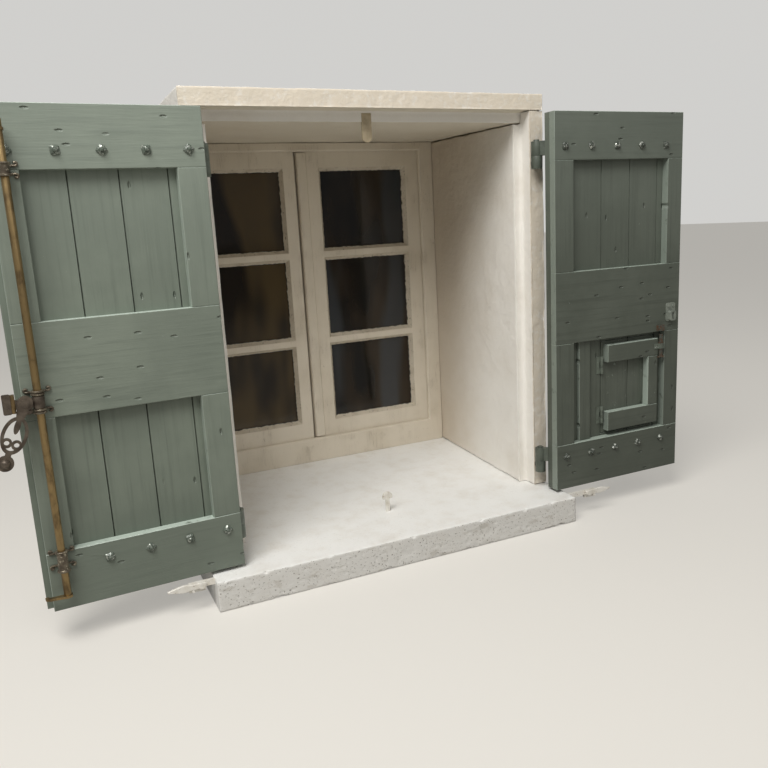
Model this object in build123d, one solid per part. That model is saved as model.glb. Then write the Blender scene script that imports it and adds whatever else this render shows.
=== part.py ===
"""Pair of board shutters on wall gudgeons, with the sill, reveal lining and casement window behind them."""
import os
from math import atan2, cos, degrees, radians, sin

from build123d import *

# driving sizes: half the opening, the leaf and the depth of the reveal
OPENING_HALF = 400
LEAF_HEIGHT = 940
REVEAL_DEPTH = 500

# sill slab
LINING_THICKNESS = 40
LINING_OUTER = OPENING_HALF + LINING_THICKNESS
SILL_LEFT = -LINING_OUTER - 44
SILL_RIGHT = LINING_OUTER
SILL_FRONT = -122
SILL_FRONT_HEIGHT = 67
SILL_SLOPE = 0.03
SILL_EDGE = 3

# reveal lining
REBATE_DEPTH = 40
SHOULDER = 22
FRAME_DEPTH = 52
REVEAL_BACK = REVEAL_DEPTH + FRAME_DEPTH
LEFT_SPLAY = OPENING_HALF + 22
RIGHT_SPLAY = OPENING_HALF - 2
SILL_CLEARANCE = 9
HEAD_CLEARANCE = 12
HEAD_DROP = 26
CEILING_RISE = 10
LEAF_BOTTOM_Z = SILL_FRONT_HEIGHT + SILL_CLEARANCE
HEAD_FACE_Z = LEAF_BOTTOM_Z + LEAF_HEIGHT + HEAD_CLEARANCE
CEILING_FRONT_Z = HEAD_FACE_Z - HEAD_DROP
CEILING_BACK_Z = CEILING_FRONT_Z + CEILING_RISE
HEAD_TOP_Z = HEAD_FACE_Z + LINING_THICKNESS

# leaves: u runs from the hinge edge, n in front of the inner face, h up from the bottom edge
LAYER_FRAME = 20
LAYER_BOARDS = 18
PIN_X = OPENING_HALF + 5
PIN_Y = -20
HINGE_EDGE_OFFSET = 10
INNER_FACE_OFFSET = LAYER_FRAME + LAYER_BOARDS - PIN_Y
LEFT_OPEN_ANGLE = 2.5
LEFT_WIDTH = OPENING_HALF - 18
LEFT_BOARDS_WIDTH = OPENING_HALF - 7
RIGHT_WIDTH = OPENING_HALF + 6
RIGHT_BOARDS_WIDTH = OPENING_HALF - 5.5
HINGE_STILE = 56
LEFT_FREE_STILE_U = LEFT_WIDTH - 51
RIGHT_FREE_STILE_U = RIGHT_WIDTH - 48
BOTTOM_RAIL = 118
MID_RAIL = 179
MID_RAIL_LOW = LEAF_HEIGHT * 381 / 940
TOP_RAIL_LOW = LEAF_HEIGHT - 113
RAIL_HEIGHTS = ((0, BOTTOM_RAIL), (MID_RAIL_LOW, MID_RAIL_LOW + MID_RAIL), (TOP_RAIL_LOW, LEAF_HEIGHT))
BOARD_PITCH = OPENING_HALF * 91 / 400
LEFT_JOINTS = tuple(BOARD_PITCH * (i + 1) - 20 for i in range(4))
RIGHT_JOINTS = tuple(BOARD_PITCH * (i + 1) - 25 for i in range(4))
ARRIS = 1
GROOVE_HALF = 1.4
GROOVE_DEPTH = 6
BOARD_GAP = 0.4

# nails and straps
NAIL_EDGE = 31
NAIL_PITCH = (LEFT_WIDTH - 34 - NAIL_EDGE) / 4
NAIL_US = tuple(NAIL_EDGE + NAIL_PITCH * i for i in range(5))
NAIL_ROWS = (BOTTOM_RAIL - 32, TOP_RAIL_LOW + 33)
NAIL_HEAD = 22
NAIL_RISE = 9
NAIL_BASE = 1.5
NAIL_SHANK_R = 3
NAIL_CLEARANCE = 0.1
RIVET_R = 5.5
RIVET_HEIGHT = 2
STRAP_CENTRES = (NAIL_ROWS[0] + 1, NAIL_ROWS[1])
STRAP_HEIGHT = 34
STRAP_THICKNESS = 6
STRAP_END_U = NAIL_US[-1] + 22
EYE_R = 13
GUDGEON_PIN_R = 7
RUNNING_GAP = 0.05
LAYER_GAP = 0.3
BARREL_HEIGHT = 30
PIN_PROUD = 4
SHANK_X = (PIN_X, PIN_X + 12)
SHANK_HEIGHT = 16
SHANK_END_Y = REBATE_DEPTH + 20

# rod bolt on the left leaf
ROD_U = LEFT_WIDTH - 27
ROD_N = 20
ROD_R = 7
ROD_HEIGHTS = (36, LEAF_HEIGHT - 28)
GUIDE_R = 10.5
TOP_GUIDE = (TOP_RAIL_LOW - 12, TOP_RAIL_LOW + 12)
MID_GUIDE = (MID_RAIL_LOW + 16, MID_RAIL_LOW + 59)
MID_RING = 9
BOTTOM_GUIDE = (BOTTOM_RAIL - 32, BOTTOM_RAIL + 10)
EAR_PLATE = 3
HOOK_HEIGHTS = (33, LEAF_HEIGHT - 49)
HOOK_THICKNESS = 5
HOOK_REACH = 40
LUG_HEIGHTS = (MID_GUIDE[0] + MID_RING + 1, MID_GUIDE[1] - MID_RING - 1)
LUG_END_U = ROD_U + 39
ROLLER_R = 6
HANDLE_PIVOT = (ROD_U + 23, LUG_HEIGHTS[0] + 14)
HANDLE_HANG = 24
HANDLE_PIN_R = 4
LUG_HALF = 4
HANDLE_BACK_N = ROD_N + LUG_HALF + LAYER_GAP
HANDLE_THICKNESS = 5.7
KNOB_DROP = 115
STOP_R = 3

# keeper for the handle on the right leaf
KEEPER_U = (RIGHT_WIDTH - 47, RIGHT_WIDTH - 15)
KEEPER_HEIGHTS = (MID_RAIL_LOW + 25, MID_RAIL_LOW + 74)

# hatch in the right leaf
HATCH_OPENING = (RIGHT_JOINTS[1], RIGHT_JOINTS[3] - 1, BOTTOM_RAIL + 5, MID_RAIL_LOW - 8)
HATCH_BOARDS = (HATCH_OPENING[0] + 1.5, HATCH_OPENING[1] - 2.5, HATCH_OPENING[2] + 2, HATCH_OPENING[3] - 2)
HATCH_AXIS_U = HATCH_OPENING[0] + 0.5
HATCH_KNUCKLE_R = 4
HATCH_AXIS_N = -LAYER_FRAME + HATCH_KNUCKLE_R + 0.5
HATCH_PIN_R = 2
HATCH_HINGES = (HATCH_OPENING[2] + 30, HATCH_OPENING[3] - 86)
HATCH_HINGE_HEIGHT = 45
BATTEN_LEFT = HATCH_AXIS_U + 8.5
BATTEN_RIGHT = HATCH_BOARDS[1] + 0.5
TOP_BATTEN = (HATCH_OPENING[3] - 56, HATCH_OPENING[3] - 10)
BOTTOM_BATTEN = (HATCH_OPENING[2] + 10, HATCH_OPENING[2] + 61)
SIDE_BATTEN_U = (BATTEN_RIGHT - 34, BATTEN_RIGHT - 1)
BOLT_U = (BATTEN_RIGHT + 1, BATTEN_RIGHT + 10)
BOLT_N = (1.5, 5.5)
BOLT_HEIGHTS = (HATCH_OPENING[3] - 62, HATCH_OPENING[3] + 1)
BOLT_GUIDE_HEIGHTS = (HATCH_OPENING[3] - 38, HATCH_OPENING[3] - 24)
STAPLE_HEIGHTS = (MID_RAIL_LOW + 2, MID_RAIL_LOW + 18)

# catches, hold-backs
CATCH_X = -15
CATCH_THICKNESS = 6
CATCH_HEIGHT = 51
CATCH_CAP_R = 13
HOLD_X = (SILL_LEFT - 28, SILL_RIGHT + 60)
HOLD_Z = LEAF_BOTTOM_Z - 16
HOLD_ARM_Y = (SILL_FRONT + 22, SILL_FRONT + 27.7)
HOLD_ARM_LENGTH = 70
HOLD_PIN_R = 4

# window
WINDOW_X = (-LEFT_SPLAY, RIGHT_SPLAY)
MEMBER = 45
LIP_OPENING = (WINDOW_X[0] + MEMBER, WINDOW_X[1] - MEMBER, LEAF_BOTTOM_Z + 81, CEILING_BACK_Z - 23)
LIP_DEPTH = 12
LIP_LAP = 13
POCKET = (LIP_OPENING[0] - LIP_LAP, LIP_OPENING[1] + LIP_LAP, LIP_OPENING[2] - LIP_LAP, LIP_OPENING[3] + LIP_LAP)
CASEMENT_GAP = 3
CASEMENT_Y = (REVEAL_DEPTH + LIP_DEPTH + 0.5, REVEAL_BACK)
MEETING_X = -33
MEETING_GAP = 2
LEFT_CASEMENT_X = (POCKET[0] + CASEMENT_GAP, MEETING_X - MEETING_GAP)
RIGHT_CASEMENT_X = (MEETING_X + MEETING_GAP, POCKET[1] - CASEMENT_GAP)
CASEMENT_Z = (POCKET[2] + CASEMENT_GAP, POCKET[3] - CASEMENT_GAP)
LEFT_GLASS_X = (LEFT_CASEMENT_X[0] + 55, LEFT_CASEMENT_X[1] - 44)
RIGHT_GLASS_X = (RIGHT_CASEMENT_X[0] + 75, RIGHT_CASEMENT_X[1] - 59)
GLASS_Z = (CASEMENT_Z[0] + 65, CASEMENT_Z[1] - 62)
GLAZING_BAR = 34
PANE_HEIGHT = (GLASS_Z[1] - GLASS_Z[0] - 2 * GLAZING_BAR) / 3
GLASS_LOWS = tuple(GLASS_Z[0] + (PANE_HEIGHT + GLAZING_BAR) * i for i in range(3))
PUTTY_WIDTH = 8
PUTTY_DEPTH = 17.5
PANE_THICKNESS = 4
PANE_SEAT = 5
STRIP_WIDTH = 30
STRIP_RISE = 8
CASEMENT_AXIS_GAP = 3
CASEMENT_BARREL_R = 6
CASEMENT_AXIS_Y = REVEAL_BACK + CASEMENT_BARREL_R + 1
CASEMENT_PIN_R = 4
CASEMENT_PLATE = 2.5
CASEMENT_HINGES = (CASEMENT_Z[0] + 143, CASEMENT_Z[1] - 199)
CASEMENT_HINGE_HALF = 30

RIGHT_LEAF = Pos(PIN_X + HINGE_EDGE_OFFSET, PIN_Y - INNER_FACE_OFFSET, LEAF_BOTTOM_Z)
LEFT_LEAF = (
    Pos(-PIN_X, PIN_Y, LEAF_BOTTOM_Z)
    * Rot(0, 0, LEFT_OPEN_ANGLE)
    * Pos(-HINGE_EDGE_OFFSET, -INNER_FACE_OFFSET, 0)
)


def sill_top(y):
    """Height of the sloping sill top at depth y."""
    return SILL_FRONT_HEIGHT + SILL_SLOPE * (y - SILL_FRONT)


def block(x0, x1, y0, y1, z0, z1):
    """A box between two opposite corners."""
    centre = Pos((x0 + x1) / 2, (y0 + y1) / 2, (z0 + z1) / 2)
    return centre * Box(abs(x1 - x0), abs(y1 - y0), abs(z1 - z0))


def upright(x, y, z0, z1, radius):
    """A round bar along Z."""
    return Pos(x, y, (z0 + z1) / 2) * Cylinder(radius, z1 - z0)


def crossbar(x, z, y0, y1, radius):
    """A round bar along Y."""
    return Pos(x, (y0 + y1) / 2, z) * Rot(90, 0, 0) * Cylinder(radius, abs(y1 - y0))


def plan(points, z0, z1):
    """An outline in X and Y, raised from z0 to z1."""
    return extrude(Plane.XY.offset(z0) * Polygon(*points, align=None), z1 - z0, dir=(0, 0, 1))


def front(points, y0, y1):
    """An outline in X and Z, thick from y0 to y1."""
    return extrude(Plane.XZ.offset(-y1) * Polygon(*points, align=None), y1 - y0, dir=(0, -1, 0))


def section(points, x0, x1):
    """An outline in Y and Z, long from x0 to x1."""
    return extrude(Plane.YZ.offset(x0) * Polygon(*points, align=None), x1 - x0, dir=(1, 0, 0))


def leaf_block(side, u0, u1, n0, n1, h0, h1):
    """A box in leaf coordinates; side is 1 for the right leaf and -1 for the left."""
    return block(side * u0, side * u1, -n0, -n1, h0, h1)


def leaf_plan(side, points, h0, h1):
    """An outline in leaf u and n, raised from h0 to h1."""
    flat = [(side * u, -n) for u, n in points]
    return plan(flat, h0, h1)


def one_node(parts):
    """Several separate pieces kept together as one node."""
    solids = []
    for part in parts:
        solids.extend(part.solids())
    return Compound(solids)


def save(name, shape, place=Pos(0, 0, 0)):
    """Write one node in its place."""
    solids = [place * solid for solid in shape.solids()]
    placed = Compound(solids) if len(solids) > 1 else solids[0]
    export_step(placed, f"parts/{name}.step")


def sill_wedge():
    """The plain sloping slab, without wear or holes."""
    back = REVEAL_BACK
    points = [(SILL_FRONT, 0), (back, 0), (back, sill_top(back)), (SILL_FRONT, SILL_FRONT_HEIGHT)]
    return section(points, SILL_LEFT, SILL_RIGHT)


def head_profile():
    """The head lining: rebate at the wall face, then a ceiling rising to the window."""
    back = REVEAL_BACK
    points = [
        (0, HEAD_TOP_Z),
        (0, HEAD_FACE_Z),
        (REBATE_DEPTH, HEAD_FACE_Z),
        (REBATE_DEPTH, CEILING_FRONT_Z),
        (REVEAL_DEPTH, CEILING_BACK_Z),
        (back, CEILING_BACK_Z),
        (back, HEAD_TOP_Z),
    ]
    return section(points, -LINING_OUTER, LINING_OUTER)


def barrel_bottoms():
    """Bottom heights of the gudgeon barrels, just under each strap eye."""
    heights = []
    for centre in STRAP_CENTRES:
        eye_bottom = LEAF_BOTTOM_Z + centre - STRAP_HEIGHT / 2
        heights.append(eye_bottom - LAYER_GAP - BARREL_HEIGHT)
    return heights


def gudgeon_shank(side, barrel_z):
    """The square shank let into the jamb."""
    middle = barrel_z + BARREL_HEIGHT / 2
    low = middle - SHANK_HEIGHT / 2
    return block(side * SHANK_X[0], side * SHANK_X[1], PIN_Y, SHANK_END_Y, low, low + SHANK_HEIGHT)


def gudgeons(side):
    """Two wall pins that carry a leaf."""
    pieces = []
    for bottom in barrel_bottoms():
        top = bottom + BARREL_HEIGHT
        pin_top = top + LAYER_GAP + STRAP_HEIGHT + PIN_PROUD
        piece = upright(side * PIN_X, PIN_Y, bottom, top, EYE_R)
        piece = piece + upright(side * PIN_X, PIN_Y, top, pin_top, GUDGEON_PIN_R)
        piece = piece + gudgeon_shank(side, bottom)
        pieces.append(piece)
    return one_node(pieces)


def jamb(side, splay):
    """One side lining with a rebate for the leaf and a splayed reveal."""
    back = REVEAL_BACK
    shoulder = OPENING_HALF - SHOULDER
    points = [
        (side * LINING_OUTER, 0),
        (side * OPENING_HALF, 0),
        (side * OPENING_HALF, REBATE_DEPTH),
        (side * shoulder, REBATE_DEPTH),
        (side * splay, REVEAL_DEPTH),
        (side * splay, back),
        (side * LINING_OUTER, back),
    ]
    lining = plan(points, 0, HEAD_TOP_Z)
    lining = lining - sill_wedge() - head_profile()
    for bottom in barrel_bottoms():
        lining = lining - gudgeon_shank(side, bottom)
    return lining


def holdback_bar(side, pivot_x, sill_end):
    """A bar let into the sill end, with a pivot pin and a stop peg for its arm."""
    outer = pivot_x + side * 26
    back = HOLD_ARM_Y[1] + 0.3
    bar = block(sill_end - side * 40, outer, back, back + 8, HOLD_Z - 6, HOLD_Z + 6)
    plate = block(pivot_x - side * 8, outer, back, back + 8, HOLD_Z - 14, HOLD_Z + 6)
    bar = bar + plate
    peg_x = pivot_x + side * 18
    bar = bar + crossbar(peg_x, HOLD_Z - 9.3, HOLD_ARM_Y[0], back + 1, 3)
    bar = bar + crossbar(pivot_x, HOLD_Z, HOLD_ARM_Y[0] - 0.3, back + 1, HOLD_PIN_R)
    bar = bar + crossbar(pivot_x, HOLD_Z, HOLD_ARM_Y[0] - 3.3, HOLD_ARM_Y[0] - 0.3, 7)
    return bar


def holdback_arm(side, pivot_x):
    """A spear-shaped turning arm, lying outward."""
    length = HOLD_ARM_LENGTH
    outline = [
        (-10, -4), (-6, -6), (22, -6), (34, -8), (46, -7), (length, -1.6),
        (length, 1.6), (46, 7), (34, 8), (22, 6), (-6, 6), (-10, 4),
    ]
    points = [(pivot_x + side * along, HOLD_Z + across) for along, across in outline]
    arm = front(points, HOLD_ARM_Y[0], HOLD_ARM_Y[1])
    arm = chamfer(arm.edges().group_by(Axis.Y)[0], ARRIS)
    bore = crossbar(pivot_x, HOLD_Z, HOLD_ARM_Y[0] - 1, HOLD_ARM_Y[1] + 1, HOLD_PIN_R + RUNNING_GAP)
    return arm - bore


def sill_catch():
    """The mushroom-shaped catch that stands on the sill."""
    base = sill_top(REBATE_DEPTH)
    back = REBATE_DEPTH + CATCH_THICKNESS
    middle = base + CATCH_HEIGHT - CATCH_CAP_R
    stem = block(CATCH_X - 5, CATCH_X + 5, REBATE_DEPTH, back, base - 22, middle + 2)
    cap = crossbar(CATCH_X, middle, REBATE_DEPTH, back, CATCH_CAP_R)
    under = block(CATCH_X - 20, CATCH_X + 20, REBATE_DEPTH - 1, back + 1, base + 10, middle - 5)
    return stem + (cap - under)


def head_catch():
    """The round-ended catch that hangs from the head."""
    face = REBATE_DEPTH + 0.5
    back = face + CATCH_THICKNESS
    bottom = CEILING_FRONT_Z - 42
    tongue = block(CATCH_X - 12, CATCH_X + 12, face, back, bottom + 12, CEILING_FRONT_Z + 22)
    return tongue + crossbar(CATCH_X, bottom + 12, face, back, 12)


def sill():
    """The sloping sill with holes for the catch and the hold-back bars."""
    slab = sill_wedge()
    top_front = slab.edges().filter_by(Axis.X).sort_by(Axis.Y)[:2]
    slab = chamfer(top_front, SILL_EDGE)
    slab = slab - sill_catch()
    slab = slab - holdback_bar(-1, HOLD_X[0], SILL_LEFT)
    return slab - holdback_bar(1, HOLD_X[1], SILL_RIGHT)


def window_frame():
    """The fixed window frame with a lip in front of the casements."""
    back = REVEAL_BACK
    frame = block(WINDOW_X[0], WINDOW_X[1], REVEAL_DEPTH, back, SILL_FRONT_HEIGHT, CEILING_BACK_Z)
    x0, x1, z0, z1 = LIP_OPENING
    frame = frame - block(x0, x1, REVEAL_DEPTH - 1, back + 1, z0, z1)
    edges = [e for e in frame.edges() if abs(e.center().Y - REVEAL_DEPTH) < 0.1]
    inner = [e for e in edges if x0 - 1 < e.center().X < x1 + 1 and z0 - 1 < e.center().Z < z1 + 1]
    frame = chamfer(inner, 4)
    x0, x1, z0, z1 = POCKET
    frame = frame - block(x0, x1, REVEAL_DEPTH + LIP_DEPTH, back + 1, z0, z1)
    return frame - sill_wedge()


def pane_cutter(x0, x1, z0, z1):
    """The tapered putty bed, pane seat and room-side opening for one pane."""
    y0 = CASEMENT_Y[0]
    seat = y0 + PUTTY_DEPTH
    centre = ((x0 + x1) / 2, y0, (z0 + z1) / 2)
    bed = Plane(origin=centre, x_dir=(1, 0, 0), z_dir=(0, 1, 0))
    outline = bed * Rectangle(x1 - x0 + 2 * PUTTY_WIDTH, z1 - z0 + 2 * PUTTY_WIDTH)
    slope = degrees(atan2(PUTTY_WIDTH, PUTTY_DEPTH))
    cutter = extrude(outline, PUTTY_DEPTH, taper=slope)
    cutter = cutter + pane(x0, x1, z0, z1)
    return cutter + block(x0, x1, seat, CASEMENT_Y[1] + 1, z0, z1)


def pane(x0, x1, z0, z1):
    """One sheet of glass, held all round by its seat."""
    seat = CASEMENT_Y[0] + PUTTY_DEPTH
    grow = PANE_SEAT
    return block(x0 - grow, x1 + grow, seat, seat + PANE_THICKNESS, z0 - grow, z1 + grow)


def casement(x_range, glass_range):
    """A casement with three panes one above another."""
    body = block(x_range[0], x_range[1], CASEMENT_Y[0], CASEMENT_Y[1], CASEMENT_Z[0], CASEMENT_Z[1])
    body = chamfer(body.edges().group_by(Axis.Y)[0], 2)
    for low in GLASS_LOWS:
        body = body - pane_cutter(glass_range[0], glass_range[1], low, low + PANE_HEIGHT)
    return body


def panes(glass_range):
    """The three panes of one casement."""
    return one_node([pane(glass_range[0], glass_range[1], low, low + PANE_HEIGHT) for low in GLASS_LOWS])


def meeting_strip():
    """The raised strip on the meeting stile of the right casement."""
    x0 = RIGHT_CASEMENT_X[0]
    low = LIP_OPENING[2] + CASEMENT_GAP
    high = LIP_OPENING[3] - CASEMENT_GAP
    strip = block(x0, x0 + STRIP_WIDTH, CASEMENT_Y[0] - STRIP_RISE, CASEMENT_Y[0], low, high)
    return chamfer(strip.edges().filter_by(Axis.Z).group_by(Axis.Y)[0], 3)


def casement_hinge_base(side, axis_x, bottom):
    """The frame half of one casement hinge, with its pin."""
    top = bottom + CASEMENT_HINGE_HALF
    back = REVEAL_BACK
    half = block(axis_x + side * 24, axis_x, back, back + CASEMENT_PLATE, bottom, top)
    half = half + upright(axis_x, CASEMENT_AXIS_Y, bottom, top, CASEMENT_BARREL_R)
    return half + upright(axis_x, CASEMENT_AXIS_Y, top, top + CASEMENT_HINGE_HALF - 2, CASEMENT_PIN_R)


def casement_hinge_leaf(side, axis_x, bottom):
    """The casement half of one hinge, turning on the pin."""
    low = bottom + CASEMENT_HINGE_HALF + LAYER_GAP
    top = low + CASEMENT_HINGE_HALF
    back = REVEAL_BACK
    half = block(axis_x - side * 26, axis_x, back, back + CASEMENT_PLATE, low, top)
    half = half + upright(axis_x, CASEMENT_AXIS_Y, low, top, CASEMENT_BARREL_R)
    return half - upright(axis_x, CASEMENT_AXIS_Y, low - 1, top - 1.5, CASEMENT_PIN_R + RUNNING_GAP)


def casement_axis(side):
    """X of a casement hinge axis, just outside the casement edge."""
    if side < 0:
        return LEFT_CASEMENT_X[0] - CASEMENT_AXIS_GAP
    return RIGHT_CASEMENT_X[1] + CASEMENT_AXIS_GAP


def casement_hinge_bases():
    """All four frame halves of the casement hinges."""
    pieces = []
    for side in (-1, 1):
        for bottom in CASEMENT_HINGES:
            pieces.append(casement_hinge_base(side, casement_axis(side), bottom))
    return one_node(pieces)


def casement_hinge_leaves(side):
    """Both moving hinge halves of one casement."""
    return one_node([casement_hinge_leaf(side, casement_axis(side), low) for low in CASEMENT_HINGES])


def nail_places(side):
    """Where the nails of a leaf stand; the left bottom guide takes one place."""
    places = [(u, h) for h in NAIL_ROWS for u in NAIL_US]
    if side < 0:
        places.remove((NAIL_US[-1], NAIL_ROWS[0]))
    return places


def nail_holes(side, row):
    """Holes for one row of nails through both layers and the strap."""
    depth = LAYER_FRAME + LAYER_BOARDS + STRAP_THICKNESS + 1
    radius = NAIL_SHANK_R + NAIL_CLEARANCE
    holes = [crossbar(side * u, h, -1, depth, radius) for u, h in nail_places(side) if h == row]
    return one_node(holes)


def nails(side):
    """Nails with diamond-point heads, riveted over the straps."""
    depth = LAYER_FRAME + LAYER_BOARDS + STRAP_THICKNESS
    slope = degrees(atan2(NAIL_HEAD / 2 - 1, NAIL_RISE - NAIL_BASE))
    pieces = []
    for u, h in nail_places(side):
        base = Plane(origin=(side * u, -NAIL_BASE, h), x_dir=(1, 0, 0), z_dir=(0, -1, 0))
        head = extrude(base * Rectangle(NAIL_HEAD, NAIL_HEAD), NAIL_RISE - NAIL_BASE, taper=slope)
        half = NAIL_HEAD / 2
        head = head + block(side * u - half, side * u + half, -NAIL_BASE, 0, h - half, h + half)
        nail = head + crossbar(side * u, h, -0.5, depth, NAIL_SHANK_R)
        nail = nail + crossbar(side * u, h, depth, depth + RIVET_HEIGHT, RIVET_R)
        pieces.append(nail)
    return one_node(pieces)


def rail(side, width, index):
    """One of the three rails of the framed layer."""
    low, high = RAIL_HEIGHTS[index]
    bar = leaf_block(side, 0, width, -LAYER_FRAME, 0, low, high)
    bar = chamfer(bar.edges().group_by(Axis.Y)[0], ARRIS)
    if index == 0:
        bar = bar - nail_holes(side, NAIL_ROWS[0])
    if index == 2:
        bar = bar - nail_holes(side, NAIL_ROWS[1])
    return bar


def stiles(side, u0, u1):
    """The lower and upper stile between the rails."""
    pieces = []
    for low, high in ((RAIL_HEIGHTS[0][1], RAIL_HEIGHTS[1][0]), (RAIL_HEIGHTS[1][1], RAIL_HEIGHTS[2][0])):
        piece = leaf_block(side, u0, u1, -LAYER_FRAME, 0, low, high)
        pieces.append(chamfer(piece.edges().group_by(Axis.Y)[0], ARRIS))
    return one_node(pieces)


def joint_groove(side, u, low, high):
    """The open V at a board joint, on both faces of the board layer."""
    face = -LAYER_FRAME
    back = face - LAYER_BOARDS
    near = [(u - GROOVE_HALF, face + 0.1), (u + GROOVE_HALF, face + 0.1), (u, face - GROOVE_DEPTH)]
    far = [(u - GROOVE_HALF, back - 0.1), (u + GROOVE_HALF, back - 0.1), (u, back + GROOVE_DEPTH)]
    return leaf_plan(side, near, low - 1, high + 1) + leaf_plan(side, far, low - 1, high + 1)


def boards(side, width, joints, opening=None):
    """The upright boards of the outer layer."""
    edges = (0,) + joints + (width,)
    holes = [nail_holes(side, row) for row in NAIL_ROWS]
    pieces = []
    for u0, u1 in zip(edges[:-1], edges[1:]):
        low_u = u0 + BOARD_GAP / 2 if u0 > 0 else u0
        high_u = u1 - BOARD_GAP / 2 if u1 < width else u1
        board = leaf_block(side, low_u, high_u, -LAYER_FRAME - LAYER_BOARDS, -LAYER_FRAME, 0, LEAF_HEIGHT)
        for u in joints:
            if u in (u0, u1):
                board = board - joint_groove(side, u, 0, LEAF_HEIGHT)
        for row in holes:
            board = board - row
        if opening:
            a, b, low, high = opening
            board = board - leaf_block(side, a, b, -INNER_FACE_OFFSET, 1, low, high)
        pieces.append(board)
    return one_node(pieces)


def strap(side, centre):
    """One strap hinge: an eye, a cranked neck and a long plate on the outer face."""
    low = centre - STRAP_HEIGHT / 2
    high = centre + STRAP_HEIGHT / 2
    face = -LAYER_FRAME - LAYER_BOARDS
    plate = leaf_block(side, 4, STRAP_END_U, face - STRAP_THICKNESS, face, low, high)
    tip = plate.edges().filter_by(Axis.Y).sort_by(Axis.X, reverse=side > 0)[:2]
    plate = chamfer(tip, 10)
    eye_u = -HINGE_EDGE_OFFSET
    eye_n = -INNER_FACE_OFFSET
    neck = [
        (20, face), (20, face - STRAP_THICKNESS), (6, face - 14), (-2, eye_n - 7),
        (eye_u - 4, eye_n), (eye_u, face - 9), (0, face),
    ]
    piece = plate + leaf_plan(side, neck, low, high)
    piece = piece + upright(side * eye_u, -eye_n, low, high, EYE_R)
    return piece - upright(side * eye_u, -eye_n, low - 1, high + 1, GUDGEON_PIN_R + RUNNING_GAP)


def straps(side):
    """Both strap hinges of a leaf, drilled for the nails."""
    pieces = []
    for centre, row in zip(STRAP_CENTRES, NAIL_ROWS):
        pieces.append(strap(side, centre) - nail_holes(side, row))
    return one_node(pieces)


def screw(u, h, n):
    """A domed screw head on the left leaf."""
    return crossbar(-u, h, -n - 1.5, -n, 3.5)


def rod_guide(low, high, rings, ears):
    """A guide that holds the rod off the left leaf."""
    guide = leaf_block(-1, ROD_U - GUIDE_R, ROD_U + GUIDE_R, 0, EAR_PLATE, low, high)
    for ring_low, ring_high in rings:
        guide = guide + leaf_block(-1, ROD_U - GUIDE_R, ROD_U + GUIDE_R, 0, ROD_N, ring_low, ring_high)
        guide = guide + upright(-ROD_U, -ROD_N, ring_low, ring_high, GUIDE_R)
    for ear_low, ear_high, u0, u1 in ears:
        plate = leaf_block(-1, u0, u1, 0, EAR_PLATE, ear_low, ear_high)
        plate = fillet(plate.edges().filter_by(Axis.Y), 4)
        middle = (ear_low + ear_high) / 2
        guide = guide + plate
        guide = guide + screw(u0 + 6, middle, EAR_PLATE) + screw(u1 - 6, middle, EAR_PLATE)
    return guide - upright(-ROD_U, -ROD_N, low - 1, high + 1, ROD_R + RUNNING_GAP)


def top_guide():
    """The upper guide, one ring on an eared plate."""
    low, high = TOP_GUIDE
    return rod_guide(low, high, [(low, high)], [(low + 3, high - 3, ROD_U - 26, ROD_U + 26)])


def mid_guide():
    """The middle guide, two rings with room for the lug between them."""
    low, high = MID_GUIDE
    rings = [(low, low + MID_RING), (high - MID_RING, high)]
    ears = [(low + 10, high - 10, ROD_U - 26, ROD_U + 22)]
    return rod_guide(low, high, rings, ears)


def bottom_guide():
    """The lower guide, a tube with two eared plates."""
    low, high = BOTTOM_GUIDE
    ears = [(low + 24, high - 2, ROD_U - 26, ROD_U + 26), (low + 2, low + 16, ROD_U - 22, ROD_U + 22)]
    guide = rod_guide(low, high, [(low, high)], ears)
    collar = upright(-ROD_U, -ROD_N, low + 17, low + 22, GUIDE_R + 1.5)
    collar = collar - upright(-ROD_U, -ROD_N, low, high, ROD_R + RUNNING_GAP)
    return guide + collar


def bolt_rod():
    """The long round rod, eased at its top end and cut through by its hooks."""
    rod = upright(-ROD_U, -ROD_N, ROD_HEIGHTS[0], ROD_HEIGHTS[1], ROD_R)
    rod = chamfer(rod.edges().group_by(Axis.Z)[-1], 2)
    hooks = rod_hooks()
    return rod - hooks


def rod_hook(low):
    """A flat hook on the rod with its tip curled toward the leaf."""
    tip = ROD_U + HOOK_REACH
    points = [
        (ROD_U - 9, ROD_N - 5), (ROD_U + 24, ROD_N - 4.5), (tip - 8, ROD_N - 6), (tip - 5, ROD_N - 10),
        (tip, ROD_N - 9), (tip - 1, ROD_N - 1), (tip - 10, ROD_N + 4), (ROD_U + 20, ROD_N + 4.5),
        (ROD_U, ROD_N + 9), (ROD_U - 8, ROD_N + 5),
    ]
    return leaf_plan(-1, points, low, low + HOOK_THICKNESS)


def rod_hooks():
    """The lower and upper hooks of the rod."""
    return one_node([rod_hook(low) for low in HOOK_HEIGHTS])


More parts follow.
